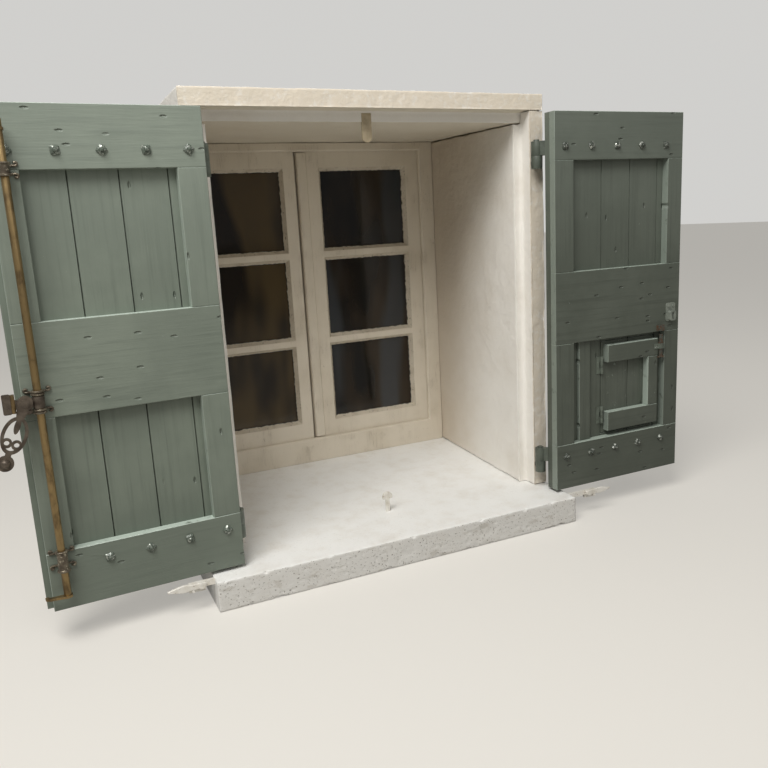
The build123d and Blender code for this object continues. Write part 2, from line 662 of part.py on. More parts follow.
def rod_lug():
    """The sleeve and arm on the rod that carry the handle, its stop and its pivot pin."""
    low, high = LUG_HEIGHTS
    sleeve = upright(-ROD_U, -ROD_N, low + LAYER_GAP, high - LAYER_GAP, GUIDE_R)
    arm = leaf_block(-1, ROD_U, LUG_END_U, ROD_N - LUG_HALF, ROD_N + LUG_HALF, low + 3, high - 3)
    tab = leaf_block(-1, ROD_U + 12.5, ROD_U + 21, ROD_N - LUG_HALF, ROD_N + LUG_HALF, low - 7.5, low + 4)
    lug = sleeve + arm + tab
    pivot_u, pivot_h = HANDLE_PIVOT
    front_n = HANDLE_BACK_N + HANDLE_THICKNESS + LAYER_GAP
    lug = lug + crossbar(-pivot_u, pivot_h, -ROD_N, -front_n - 1, HANDLE_PIN_R)
    lug = lug + crossbar(-pivot_u, pivot_h, -front_n, -front_n - 3.5, 7)
    peg = handle_point(10 + STOP_R + RUNNING_GAP, -14)
    lug = lug + crossbar(-peg[0], peg[1], -ROD_N, -front_n + 1, STOP_R)
    return lug - upright(-ROD_U, -ROD_N, low - 1, high + 1, ROD_R + RUNNING_GAP)


def lug_roller():
    """The bright roller at the end of the lug."""
    low, high = LUG_HEIGHTS
    roller = upright(-LUG_END_U - 3, -ROD_N + 2, low - 4, high + 7, ROLLER_R)
    return roller - leaf_block(-1, LUG_END_U - 12, LUG_END_U, 5, 30, low - 5, high + 8)


def lug_plate():
    """The dark end plate beyond the roller."""
    low, high = LUG_HEIGHTS
    plate = leaf_block(-1, LUG_END_U + 7, LUG_END_U + 21, ROD_N - 3, ROD_N + 3, low - 5, high + 9)
    plate = fillet(plate.edges().filter_by(Axis.Y), 3)
    return plate - lug_roller()


def handle_point(across, along):
    """Leaf u and h of a point of the handle; across is to the hinge side, along is upward."""
    swing = radians(HANDLE_HANG)
    u = HANDLE_PIVOT[0] - across * cos(swing) - along * sin(swing)
    h = HANDLE_PIVOT[1] - across * sin(swing) + along * cos(swing)
    return (u, h)


def ring(x, y, outer_x, outer_y, band):
    """A flat oval ring."""
    outer = Pos(x, y) * Ellipse(outer_x, outer_y)
    return outer - Pos(x, y) * Ellipse(outer_x - band, outer_y - band)


def handle_outline():
    """The openwork outline of the handle, hanging straight down."""
    neck = Polygon((-10, 0), (-10, -14), (-6, -31), (6, -31), (10, -14), (10, 0), align=None)
    flat = Circle(13) + neck
    flat = flat + ring(0, -62, 22, 35, 6)
    flat = flat + Pos(0, -44) * Ellipse(5, 15)
    flat = flat + ring(-8.5, -78, 9, 9, 4.5) + ring(8.5, -78, 9, 9, 4.5)
    flat = flat + Pos(0, -97) * Rectangle(10, 12)
    return flat + Pos(0, -KNOB_DROP) * Circle(14.5)


def handle():
    """The cast openwork handle with its ball-ended grip."""
    back = -HANDLE_BACK_N
    plane = Plane(origin=(0, back, 0), x_dir=(1, 0, 0), z_dir=(0, -1, 0))
    plate = extrude(plane * handle_outline(), HANDLE_THICKNESS)
    knob = Pos(0, back - HANDLE_THICKNESS, -KNOB_DROP) * Sphere(9)
    knob = knob - block(-20, 20, back, 40, -KNOB_DROP - 20, -KNOB_DROP + 20)
    piece = plate + knob
    bore = crossbar(0, 0, back + 1, back - HANDLE_THICKNESS - 1, HANDLE_PIN_R + RUNNING_GAP)
    piece = piece - bore
    return Pos(-HANDLE_PIVOT[0], 0, HANDLE_PIVOT[1]) * Rot(0, HANDLE_HANG, 0) * piece


def raised_strip():
    """The upright cover strip on the lower boards of the right leaf."""
    strip = leaf_block(1, 80, 116, -LAYER_FRAME, -LAYER_FRAME + 10, RAIL_HEIGHTS[0][1], RAIL_HEIGHTS[1][0])
    return chamfer(strip.edges().filter_by(Axis.Z).group_by(Axis.Y)[0], 2)


def handle_keeper():
    """The slotted keeper for the handle on the right leaf."""
    u0, u1 = KEEPER_U
    low, high = KEEPER_HEIGHTS
    plate = leaf_block(1, u0, u1, 0, 2.5, low, high)
    plate = fillet(plate.edges().filter_by(Axis.Y), 6)
    box = leaf_block(1, u0 + 5, u1 - 7, 2, 13, low + 2, low + 28)
    box = fillet(box.edges().filter_by(Axis.Y), 5)
    keeper = plate + box
    keeper = keeper + crossbar(u1 - 8, high - 9, -4, -2, 4) + crossbar(u0 + 8, high - 9, -4, -2, 4)
    slot = (u0 + u1) / 2 - 1
    return keeper - leaf_block(1, slot - 3, slot + 3, 2.5, 20, low + 6, low + 24)


def loop_plate(heights, u_base):
    """A small plate with a bridge over the hatch bolt."""
    low, high = heights
    u0 = BOLT_U[0] - 0.5
    u1 = BOLT_U[1] + 0.5
    crown = BOLT_N[1] + 0.2
    base = leaf_block(1, u_base, u1 + 3, 0, BOLT_N[0] - 0.1, low, high)
    bridge = leaf_block(1, u0 - 3, u1 + 3, 0, crown + 2.5, low, high)
    bridge = bridge - leaf_block(1, u0, u1, BOLT_N[0] - 0.1, crown, low - 1, high + 1)
    return base + bridge


def hatch_staple():
    """The staple on the middle rail that takes the hatch bolt."""
    return loop_plate(STAPLE_HEIGHTS, BOLT_U[0] - 9)


def hatch_bolt_guide():
    """The guide on the hatch that carries the bolt."""
    return loop_plate(BOLT_GUIDE_HEIGHTS, BOLT_U[0] - 16)


def hatch_bolt():
    """The flat hatch bolt with a T foot and a shoulder that hangs on its guide."""
    low, high = BOLT_HEIGHTS
    bolt = leaf_block(1, BOLT_U[0], BOLT_U[1], BOLT_N[0], BOLT_N[1], low, high)
    foot = leaf_block(1, BOLT_U[0] - 6, BOLT_U[1] + 6, BOLT_N[0], BOLT_N[1], low, low + 4)
    rest = BOLT_GUIDE_HEIGHTS[1]
    shoulder = leaf_block(1, BOLT_U[0] - 3, BOLT_U[1] + 3, BOLT_N[0], BOLT_N[1], rest, rest + 4)
    return bolt + foot + shoulder


def hatch_knuckle(low, high):
    """A length of the hatch hinge knuckle."""
    return upright(HATCH_AXIS_U, -HATCH_AXIS_N, low, high, HATCH_KNUCKLE_R)


def hatch_hinge_base(low):
    """The fixed leaf of a hatch hinge with its two knuckles and pin."""
    third = HATCH_HINGE_HEIGHT / 3
    high = low + HATCH_HINGE_HEIGHT
    face = -LAYER_FRAME
    edge = HATCH_OPENING[0]
    base = leaf_block(1, edge - 14, edge - 5, face, face + 2, low, high)
    for start in (low, high - third):
        base = base + leaf_block(1, edge - 14, edge, face, face + 2, start, start + third)
        base = base + hatch_knuckle(start, start + third)
    return base + upright(HATCH_AXIS_U, -HATCH_AXIS_N, low, high, HATCH_PIN_R)


def hatch_hinge_bases():
    """Both fixed hatch hinge leaves."""
    return one_node([hatch_hinge_base(low) for low in HATCH_HINGES])


def hatch_hinge_leaf(low):
    """The moving leaf of a hatch hinge with its middle knuckle."""
    third = HATCH_HINGE_HEIGHT / 3
    start = low + third + 0.2
    end = low + 2 * third - 0.2
    face = -LAYER_FRAME
    leaf = leaf_block(1, HATCH_AXIS_U, BATTEN_LEFT - 1, face, face + 2, start, end)
    leaf = leaf + leaf_block(1, HATCH_AXIS_U + 4.8, BATTEN_LEFT - 1, face, face + 2, low, low + HATCH_HINGE_HEIGHT)
    leaf = leaf + hatch_knuckle(start, end)
    return leaf - upright(HATCH_AXIS_U, -HATCH_AXIS_N, low, low + 60, HATCH_PIN_R + RUNNING_GAP)


def hatch_hinge_leaves():
    """Both moving hatch hinge leaves."""
    return one_node([hatch_hinge_leaf(low) for low in HATCH_HINGES])


def hatch_boards():
    """The two boards of the hatch."""
    u0, u1, low, high = HATCH_BOARDS
    joint = RIGHT_JOINTS[2]
    pieces = []
    for a, b in ((u0, joint), (joint, u1)):
        board = leaf_block(1, a, b, -LAYER_FRAME - LAYER_BOARDS, -LAYER_FRAME, low, high)
        pieces.append(board - joint_groove(1, joint, low, high))
    return one_node(pieces)


def batten(across, heights):
    """A ledge on the hatch boards."""
    piece = leaf_block(1, across[0], across[1], -LAYER_FRAME, 0, heights[0], heights[1])
    return chamfer(piece.edges().group_by(Axis.Y)[0], 1.5)


def save_frame():
    """Write every fixed node."""
    save("sill", sill())
    save("left_jamb", jamb(-1, LEFT_SPLAY))
    save("right_jamb", jamb(1, RIGHT_SPLAY))
    save("head_lining", head_profile() - head_catch())
    save("window_frame", window_frame())
    save("casement_hinge_bases", casement_hinge_bases())
    save("left_gudgeons", gudgeons(-1))
    save("right_gudgeons", gudgeons(1))
    save("sill_catch", sill_catch())
    save("head_catch", head_catch())
    save("left_holdback_bar", holdback_bar(-1, HOLD_X[0], SILL_LEFT))
    save("right_holdback_bar", holdback_bar(1, HOLD_X[1], SILL_RIGHT))
    save("left_holdback_arm", holdback_arm(-1, HOLD_X[0]))
    save("right_holdback_arm", holdback_arm(1, HOLD_X[1]))


def save_window():
    """Write both casements."""
    save("left_casement_frame", casement(LEFT_CASEMENT_X, LEFT_GLASS_X))
    save("left_casement_glass", panes(LEFT_GLASS_X))
    save("left_casement_hinges", casement_hinge_leaves(-1))
    save("right_casement_frame", casement(RIGHT_CASEMENT_X, RIGHT_GLASS_X))
    save("right_casement_glass", panes(RIGHT_GLASS_X))
    save("right_casement_hinges", casement_hinge_leaves(1))
    save("meeting_strip", meeting_strip())


def save_left_leaf():
    """Write the left leaf with its rod bolt."""
    save("left_boards", boards(-1, LEFT_BOARDS_WIDTH, LEFT_JOINTS), LEFT_LEAF)
    save("left_bottom_rail", rail(-1, LEFT_WIDTH, 0), LEFT_LEAF)
    save("left_mid_rail", rail(-1, LEFT_WIDTH, 1), LEFT_LEAF)
    save("left_top_rail", rail(-1, LEFT_WIDTH, 2), LEFT_LEAF)
    save("left_hinge_stiles", stiles(-1, 0, HINGE_STILE), LEFT_LEAF)
    save("left_free_stiles", stiles(-1, LEFT_FREE_STILE_U, LEFT_WIDTH), LEFT_LEAF)
    save("left_straps", straps(-1), LEFT_LEAF)
    save("left_nails", nails(-1), LEFT_LEAF)
    save("rod_guide_top", top_guide(), LEFT_LEAF)
    save("rod_guide_mid", mid_guide(), LEFT_LEAF)
    save("rod_guide_bottom", bottom_guide(), LEFT_LEAF)
    save("bolt_rod", bolt_rod(), LEFT_LEAF)
    save("rod_hooks", rod_hooks(), LEFT_LEAF)
    save("rod_lug", rod_lug(), LEFT_LEAF)
    save("lug_roller", lug_roller(), LEFT_LEAF)
    save("lug_plate", lug_plate(), LEFT_LEAF)
    save("handle", handle(), LEFT_LEAF)


def save_right_leaf():
    """Write the right leaf with its hatch."""
    save("right_boards", boards(1, RIGHT_BOARDS_WIDTH, RIGHT_JOINTS, HATCH_OPENING), RIGHT_LEAF)
    save("right_bottom_rail", rail(1, RIGHT_WIDTH, 0), RIGHT_LEAF)
    save("right_mid_rail", rail(1, RIGHT_WIDTH, 1), RIGHT_LEAF)
    save("right_top_rail", rail(1, RIGHT_WIDTH, 2), RIGHT_LEAF)
    save("right_hinge_stiles", stiles(1, 0, HINGE_STILE), RIGHT_LEAF)
    save("right_free_stiles", stiles(1, RIGHT_FREE_STILE_U, RIGHT_WIDTH), RIGHT_LEAF)
    save("right_straps", straps(1), RIGHT_LEAF)
    save("right_nails", nails(1), RIGHT_LEAF)
    save("raised_strip", raised_strip(), RIGHT_LEAF)
    save("handle_keeper", handle_keeper(), RIGHT_LEAF)
    save("hatch_staple", hatch_staple(), RIGHT_LEAF)
    save("hatch_hinge_bases", hatch_hinge_bases(), RIGHT_LEAF)
    save("hatch_boards", hatch_boards(), RIGHT_LEAF)
    save("hatch_top_batten", batten((BATTEN_LEFT, BATTEN_RIGHT), TOP_BATTEN), RIGHT_LEAF)
    save("hatch_bottom_batten", batten((BATTEN_LEFT, BATTEN_RIGHT), BOTTOM_BATTEN), RIGHT_LEAF)
    save("hatch_side_batten", batten(SIDE_BATTEN_U, (BOTTOM_BATTEN[1], TOP_BATTEN[0])), RIGHT_LEAF)
    save("hatch_hinge_leaves", hatch_hinge_leaves(), RIGHT_LEAF)
    save("hatch_bolt_guide", hatch_bolt_guide(), RIGHT_LEAF)
    save("hatch_bolt", hatch_bolt(), RIGHT_LEAF)


os.makedirs("parts", exist_ok=True)
save_frame()
save_window()
save_left_leaf()
save_right_leaf()
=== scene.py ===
import math

import bmesh
import bpy
from mathutils import Matrix, Vector, noise


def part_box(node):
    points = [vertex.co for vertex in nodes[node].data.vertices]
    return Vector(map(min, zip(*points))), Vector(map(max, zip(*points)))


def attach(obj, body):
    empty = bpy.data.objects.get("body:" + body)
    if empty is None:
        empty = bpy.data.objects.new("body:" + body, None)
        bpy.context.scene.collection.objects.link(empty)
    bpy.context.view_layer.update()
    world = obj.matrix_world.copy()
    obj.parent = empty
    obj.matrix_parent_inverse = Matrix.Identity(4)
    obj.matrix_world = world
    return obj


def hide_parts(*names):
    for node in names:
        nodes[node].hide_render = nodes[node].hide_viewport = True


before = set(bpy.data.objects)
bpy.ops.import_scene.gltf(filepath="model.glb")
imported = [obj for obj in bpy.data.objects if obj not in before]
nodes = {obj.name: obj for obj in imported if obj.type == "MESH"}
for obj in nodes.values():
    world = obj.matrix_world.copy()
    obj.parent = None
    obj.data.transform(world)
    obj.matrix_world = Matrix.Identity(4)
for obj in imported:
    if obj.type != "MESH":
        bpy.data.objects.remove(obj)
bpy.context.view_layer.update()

# The viewpoint: a phone's lens to the left of the window, at about three quarters of the leaves'
# height, turned to the right, tilted down and not quite level.
CAMERA_PLACE = Vector((-0.7474, -1.6034, 0.7739))
CAMERA_YAW = math.radians(24.22)
CAMERA_PITCH = math.radians(-11.79)
CAMERA_ROLL = math.radians(-3.17)
LENS_MM = 35.56
SENSOR_MM = 36
SEEN_TO_METRES = 200

scene = bpy.context.scene
ahead = Vector((
    math.sin(CAMERA_YAW) * math.cos(CAMERA_PITCH),
    math.cos(CAMERA_YAW) * math.cos(CAMERA_PITCH),
    math.sin(CAMERA_PITCH),
))
level = Vector((math.cos(CAMERA_YAW), -math.sin(CAMERA_YAW), 0))
above = level.cross(ahead)
right = level * math.cos(CAMERA_ROLL) + above * math.sin(CAMERA_ROLL)
upward = above * math.cos(CAMERA_ROLL) - level * math.sin(CAMERA_ROLL)
turn = Matrix((right, upward, -ahead)).transposed()
camera_data = bpy.data.cameras.new("viewpoint")
camera_data.lens = LENS_MM
camera_data.sensor_width = SENSOR_MM
camera_data.clip_end = SEEN_TO_METRES
camera = bpy.data.objects.new("viewpoint", camera_data)
camera.matrix_world = Matrix.Translation(CAMERA_PLACE) @ turn.to_4x4()
scene.collection.objects.link(camera)
scene.camera = camera


# The light: an open overcast sky. Two soft square lamps stand high in front, the stronger one to the
# left, and the surround looks brighter to the camera than it lights.
SURROUND_LIGHT = 0.28
SURROUND_SEEN = 0.72


def linear(code):
    """An sRGB hex colour as linear values with full alpha."""
    parts = []
    for start in (0, 2, 4):
        value = int(code[start:start + 2], 16) / 255
        parts.append(value / 12.92 if value <= 0.04045 else ((value + 0.055) / 1.055) ** 2.4)
    return (*parts, 1.0)


def add(tree, kind, inputs=None, output=0, **settings):
    """A shader node's output; each input is given a value or linked to another node's output."""
    node = tree.nodes.new("ShaderNode" + kind)
    for name, value in settings.items():
        setattr(node, name, value)
    for key, value in (inputs or {}).items():
        if isinstance(value, bpy.types.NodeSocket):
            tree.links.new(value, node.inputs[key])
        else:
            node.inputs[key].default_value = value
    return node.outputs[output]


def sheet_of_light(name, place, target, size, power, colour):
    """A soft square lamp that faces a point."""
    lamp = bpy.data.lights.new(name, "AREA")
    lamp.shape = "RECTANGLE"
    lamp.size = size
    lamp.size_y = size
    lamp.energy = power
    lamp.color = linear(colour)[:3]
    holder = bpy.data.objects.new(name, lamp)
    aim = (Vector(target) - Vector(place)).to_track_quat("-Z", "Y")
    holder.matrix_world = Matrix.Translation(place) @ aim.to_matrix().to_4x4()
    scene.collection.objects.link(holder)


sheet_of_light(
    "sky_left", place=(-1.6, -1.55, 3.3), target=(0.1, 0, 0.5), size=1.8, power=112, colour="fffdf9")
sheet_of_light(
    "sky_front", place=(0.6, -3.4, 3.0), target=(0, 0.2, 0.5), size=3.0, power=20, colour="fffcf7")
surround = bpy.data.worlds.new("pale_surround")
surround.use_nodes = True
tree = surround.node_tree
lighting = tree.nodes["Background"]
lighting.inputs["Color"].default_value = linear("f1efea")
lighting.inputs["Strength"].default_value = SURROUND_LIGHT
backdrop = add(tree, "Background", {"Color": linear("f1f0ed"), "Strength": SURROUND_SEEN})
by_camera = add(tree, "LightPath", output="Is Camera Ray")
both = add(tree, "MixShader", {"Fac": by_camera, 1: lighting.outputs["Background"], 2: backdrop})
tree.links.new(both, tree.nodes["World Output"].inputs["Surface"])
scene.world = surround
scene.view_settings.view_transform = "Standard"


# The floor: plain pale matt board, large enough to reach the horizon. It glows a little for the
# camera alone, so that it looks even without lighting the object.
FLOOR_HALF = 30
FLOOR_GLOW = 0.36


def new_finish(name):
    """An empty material with its tree, its surface shader and the place on the piece."""
    finish = bpy.data.materials.new(name)
    finish.use_nodes = True
    tree = finish.node_tree
    place = add(tree, "TexCoord", output="Object")
    return finish, tree, tree.nodes["Principled BSDF"], place


floor_mesh = bmesh.new()
bmesh.ops.create_grid(floor_mesh, x_segments=1, y_segments=1, size=FLOOR_HALF)
floor_data = bpy.data.meshes.new("floor")
floor_mesh.to_mesh(floor_data)
floor_mesh.free()
floor = bpy.data.objects.new("floor", floor_data)
scene.collection.objects.link(floor)
floor_finish, tree, shader, place = new_finish("matt_studio_board")
shader.inputs["Base Color"].default_value = linear("b9b6b0")
shader.inputs["Roughness"].default_value = 0.9
shader.inputs["Emission Color"].default_value = linear("efece6")
by_camera = add(tree, "LightPath", output="Is Camera Ray")
glow = add(tree, "Math", {0: by_camera, 1: FLOOR_GLOW}, operation="MULTIPLY")
tree.links.new(glow, shader.inputs["Emission Strength"])
floor_data.materials.append(floor_finish)


# The sill: a cast concrete slab with a sloping top, bedded at the foot of the opening and whitewashed
# many times. Its front is pitted where the cement skin has come away, and its arrises are chipped.
MM = 0.001
SILL_SLOPE = 0.03
SILL_CELL_LONG = 4 * MM
SILL_CELL = 3 * MM
SILL_CELL_BACK = 11 * MM
SILL_FINE_BAND = 32 * MM
ON_FACE = 0.01 * MM
RUBBED_EDGE = 1.2 * MM
CHIP_REACH = 11 * MM
PIT_DEPTH = 5.5 * MM
PATCH_DEPTH = 3.2 * MM
PATCH_DEEPEST = 1.3 * MM
SKIN_BELOW_TOP = 2 * MM
TOP_WAVES = 0.3 * MM
# The two faces that meet at each edge, and the way a bite goes in from there.
SILL_BITES = (
    ("front", "top", Vector((0, 0.62, -0.62))),
    ("front", "foot", Vector((0, 0.62, 0.62))),
    ("left", "front", Vector((0.7, 0.5, 0))),
    ("left", "top", Vector((0.6, 0, -0.5))),
    ("right", "front", Vector((-0.7, 0.5, 0))),
    ("right", "top", Vector((-0.6, 0, -0.5))),
)
SOFT = {"interpolation_type": "SMOOTHSTEP"}


def ragged(point, size_mm, seed):
    """Smooth noise from -1 to 1 at a point, with marks of about size_mm."""
    return noise.noise(point / (size_mm * MM) + Vector((seed * 7.3, seed * 3.1, seed * 5.7)))


def cut_cells(mesh, axis, cell, start, end):
    """Cuts the edges that run along an axis, with their middle between two places, into even cells."""
    along = []
    for edge in mesh.edges:
        first, last = [vert.co for vert in edge.verts]
        span = abs(first[axis] - last[axis])
        aside = max(abs(first[other] - last[other]) for other in range(3) if other != axis)
        worth_a_cut = span > aside * 3 and span > cell * 1.5
        if worth_a_cut and start < (first[axis] + last[axis]) / 2 < end:
            along.append(edge)
    longest = max(edge.calc_length() for edge in along)
    bmesh.ops.subdivide_edges(mesh, edges=along, cuts=max(1, round(longest / cell) - 1), use_grid_fill=True)


def new_piece(mesh, name, finish):
    """Makes a bmesh an object with a finish."""
    data = bpy.data.meshes.new(name)
    mesh.to_mesh(data)
    mesh.free()
    data.materials.append(finish)
    piece = bpy.data.objects.new(name, data)
    scene.collection.objects.link(piece)
    return piece


def marks(tree, place, size_mm, detail, roughness):
    """Soft noise whose marks have a real size in mm, the same along each axis or one for each."""
    sizes = size_mm if isinstance(size_mm, tuple) else (size_mm, size_mm, size_mm)
    per_metre = [1 / (size * MM) for size in sizes]
    spread = add(tree, "Mapping", {"Vector": place, "Scale": per_metre})
    return add(tree, "TexNoise", {"Vector": spread, "Scale": 1, "Detail": detail, "Roughness": roughness})


def tinted(tree, tone, other, pattern, start, end, share=1.0):
    """A tone that turns to another, up to a share, as a pattern goes from start to end."""
    limits = {"From Min": start, "From Max": end, "To Max": share}
    amount = add(tree, "MapRange", {"Value": pattern, **limits}, **SOFT)
    return add(tree, "MixRGB", {"Fac": amount, "Color1": tone, "Color2": other})


sill_low, sill_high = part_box("sill")
sill_front_top = sill_high.z - SILL_SLOPE * (sill_high.y - sill_low.y)
fine_back = sill_low.y + SILL_FINE_BAND
block_high = Vector((sill_high.x, sill_high.y, sill_front_top))
sill_mesh = bmesh.new()
bmesh.ops.create_cube(sill_mesh, size=1)
block = Matrix.Translation((sill_low + block_high) / 2) @ Matrix.Diagonal((*(block_high - sill_low), 1))
bmesh.ops.transform(sill_mesh, matrix=block, verts=sill_mesh.verts)
everything = sill_mesh.verts[:] + sill_mesh.edges[:] + sill_mesh.faces[:]
bmesh.ops.bisect_plane(sill_mesh, geom=everything, plane_co=(0, fine_back, 0), plane_no=(0, 1, 0))
cut_cells(sill_mesh, 0, SILL_CELL_LONG, -math.inf, math.inf)
cut_cells(sill_mesh, 2, SILL_CELL, -math.inf, math.inf)
cut_cells(sill_mesh, 1, SILL_CELL, -math.inf, fine_back)
cut_cells(sill_mesh, 1, SILL_CELL_BACK, fine_back, math.inf)
for vert in sill_mesh.verts:
    spot = vert.co.copy()
    gaps = {
        "front": spot.y - sill_low.y,
        "top": sill_front_top - spot.z,
        "foot": spot.z - sill_low.z,
        "left": spot.x - sill_low.x,
        "right": sill_high.x - spot.x,
    }
    chip = max(0.0, ragged(spot, 30, 1) + 0.6 * ragged(spot, 9, 2) - 0.22)
    reach = RUBBED_EDGE + CHIP_REACH * chip
    inward = Vector((0, 0, 0))
    for first, second, way in SILL_BITES:
        inward += max(0.0, reach - max(gaps[first], gaps[second])) * way
    if gaps["front"] < ON_FACE and gaps["top"] > SKIN_BELOW_TOP:
        pit = max(0.0, ragged(spot, 8, 3) - 0.33) * PIT_DEPTH
        patch = max(0.0, ragged(spot, 48, 4) + 0.3 * ragged(spot, 14, 5) - 0.25) * PATCH_DEPTH
        inward.y += pit + min(patch, PATCH_DEEPEST)
    if gaps["top"] < ON_FACE:
        inward.z -= TOP_WAVES * (1 + ragged(spot, 70, 6))
    vert.co = spot + inward
    vert.co.z += SILL_SLOPE * gaps["front"] * gaps["foot"] / (sill_front_top - sill_low.z)

# Whitewash brushed on cast concrete: chalky, matt and thin where rain and hands have worn it.
sill_finish, tree, shader, place = new_finish("whitewashed_concrete")
# 1 on the front of the slab, which faces outward, and 0 on its top.
normal = add(tree, "TexCoord", output="Normal")
front = add(tree, "SeparateXYZ", {"Vector": normal}, output="Y")
front = add(tree, "MapRange", {"Value": front, "From Min": -0.5, "From Max": -0.9}, **SOFT)
# Broad clouds of thicker and thinner wash.
cloud = marks(tree, place, 60, detail=5, roughness=0.65)
tone = tinted(tree, linear("f3f3f1"), linear("e6e3dd"), cloud, 0.4, 0.85)
# Flat brownish patches on the front, where the wash has come off the cement.
bald = marks(tree, place, (46, 46, 18), detail=6, roughness=0.68)
bald = add(tree, "MapRange", {"Value": bald, "From Min": 0.56, "From Max": 0.66, "To Max": 0.55}, **SOFT)
bald = add(tree, "Math", {0: bald, 1: front}, operation="MULTIPLY")
tone = add(tree, "MixRGB", {"Fac": bald, "Color1": tone, "Color2": linear("b3ab9d")})
# The whole front is greyer than the top.
grey = add(tree, "Math", {0: front, 1: 0.5}, operation="MULTIPLY")
tone = add(tree, "MixRGB", {"Fac": grey, "Color1": tone, "Color2": linear("cbc8c2")})
# Dark specks of sand and dirt in the pits, many on the front and few on the top.
speck = marks(tree, place, 4.5, detail=3, roughness=0.6)
speck = add(tree, "MapRange", {"Value": speck, "From Min": 0.60, "From Max": 0.68}, **SOFT)
share = add(tree, "Math", {0: front, 1: 0.75, 2: 0.12}, operation="MULTIPLY_ADD")
share = add(tree, "Math", {0: speck, 1: share}, operation="MULTIPLY")
tone = add(tree, "MixRGB", {"Fac": share, "Color1": tone, "Color2": linear("6f685d")})
tree.links.new(tone, shader.inputs["Base Color"])
shader.inputs["Roughness"].default_value = 0.82
# Fine grit under the wash, with the specks sunk in.
grit = marks(tree, place, 3, detail=4, roughness=0.7)
grit = add(tree, "Math", {0: speck, 1: -0.5, 2: grit}, operation="MULTIPLY_ADD")
bump = add(tree, "Bump", {"Height": grit, "Distance": 0.7 * MM})
tree.links.new(bump, shader.inputs["Normal"])
sill = new_piece(sill_mesh, "worn_sill", sill_finish)
sill.data.shade_smooth()
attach(sill, "frame")
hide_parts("sill")


# The reveal: lime plaster trowelled on the jambs and the head and limewashed white. Its corners are
# rounded by hand, and its outermost millimetres show the cream coat where the wash stops.
PLASTER_CELL = 4 * MM
TROWEL_MARK = 60 * MM
TROWEL_DEPTH = 3 * MM
WELD_GAP = 0.01 * MM
FLAT_WITHIN = math.radians(1)
CORNER_FROM = math.radians(35)


def dress(names, finish, rounded_mm=0.0):
    """Gives CAD nodes a finish and, where asked, a small rounded edge."""
    for name in names:
        piece = nodes[name]
        piece.material_slots[0].material = finish
        if rounded_mm:
            joined = piece.modifiers.new("joined_faces", "WELD")
            joined.merge_threshold = WELD_GAP
            plain = piece.modifiers.new("plain_faces", "DECIMATE")
            plain.decimate_type = "DISSOLVE"
            plain.angle_limit = FLAT_WITHIN
            edge = piece.modifiers.new("worn_edge", "BEVEL")
            edge.width = rounded_mm * MM
            edge.segments = 2
            edge.limit_method = "ANGLE"
            edge.angle_limit = CORNER_FROM
            edge.harden_normals = False


def plaster(name, is_ceiling):
    """Chalky limewash on trowelled lime plaster, matt and softly clouded, with painted shade in the reveal.
    """
    finish, tree, shader, place = new_finish(name)
    # Broad clouds of thicker and thinner limewash.
    cloud = marks(tree, place, 160, detail=4, roughness=0.6)
    tone = tinted(tree, linear("f0ede7"), linear("e6e1d8"), cloud, 0.4, 0.85)
    # The cream coat at the outer face, with a brushed, wavy border 1 to 6 mm deep: the noise takes
    # off 7 mm on average.
    depth = add(tree, "SeparateXYZ", {"Vector": place}, output="Y")
    wavy = marks(tree, place, 16, detail=4, roughness=0.7)
    wavy = add(tree, "Math", {0: wavy, 1: -14 * MM, 2: depth}, operation="MULTIPLY_ADD")
    tone = tinted(tree, tone, linear("dccdb4"), wavy, -1 * MM, -6 * MM, share=0.6)
    if is_ceiling:
        # Darker and warmer on faces that look down: painted shade under the head.
        normal = add(tree, "TexCoord", output="Normal")
        upward = add(tree, "SeparateXYZ", {"Vector": normal}, output="Z")
        tone = tinted(tree, tone, linear("cfc2a6"), upward, -0.6, -0.9, share=0.55)
    else:
        # The jambs turn darker and browner toward the window and the head: painted shade deep in the
        # reveal.
        height = add(tree, "SeparateXYZ", {"Vector": place}, output="Z")
        drift = marks(tree, place, 90, detail=4, roughness=0.6)
        reveal_shade = add(tree, "Math", {0: height, 1: 0.16, 2: depth}, operation="MULTIPLY_ADD")
        reveal_shade = add(tree, "Math", {0: drift, 1: 0.12, 2: reveal_shade}, operation="MULTIPLY_ADD")
        tone = tinted(tree, tone, linear("b8a384"), reveal_shade, 0.24, 0.60, share=0.55)
    # Faint smudges of dirt.
    dirt = marks(tree, place, 20, detail=5, roughness=0.7)
    tone = tinted(tree, tone, linear("a89a84"), dirt, 0.62, 0.78, share=0.10)
    tree.links.new(tone, shader.inputs["Base Color"])
    shader.inputs["Roughness"].default_value = 0.88
    # Trowel ridges with sand grains in them.
    ridge = marks(tree, place, 18, detail=5, roughness=0.6)
    sand = marks(tree, place, 3, detail=3, roughness=0.6)
    rough = add(tree, "Math", {0: sand, 1: 0.25, 2: ridge}, operation="MULTIPLY_ADD")
    bump = add(tree, "Bump", {"Height": rough, "Distance": 2.2 * MM})
    tree.links.new(bump, shader.inputs["Normal"])
    return finish


trowelled = bpy.data.textures.new("trowelled", "CLOUDS")
trowelled.noise_scale = TROWEL_MARK
trowelled.noise_depth = 3
for name in ("left_jamb", "right_jamb", "head_lining"):
    dress([name], plaster("limewashed_" + name, name == "head_lining"))
    skin = nodes[name].modifiers.new("hand_rounded", "REMESH")
    skin.mode = "VOXEL"
    skin.voxel_size = PLASTER_CELL
    skin.use_smooth_shade = True
    ripple = nodes[name].modifiers.new("trowel_marks", "DISPLACE")
    ripple.texture = trowelled
    ripple.texture_coords = "LOCAL"
    ripple.strength = TROWEL_DEPTH
    ripple.mid_level = 1.0


# The window: a pine frame and two casements, planed, jointed and brushed with cream gloss paint. The
# paint has dulled, cracked along the grain and chipped to grey wood in spots.

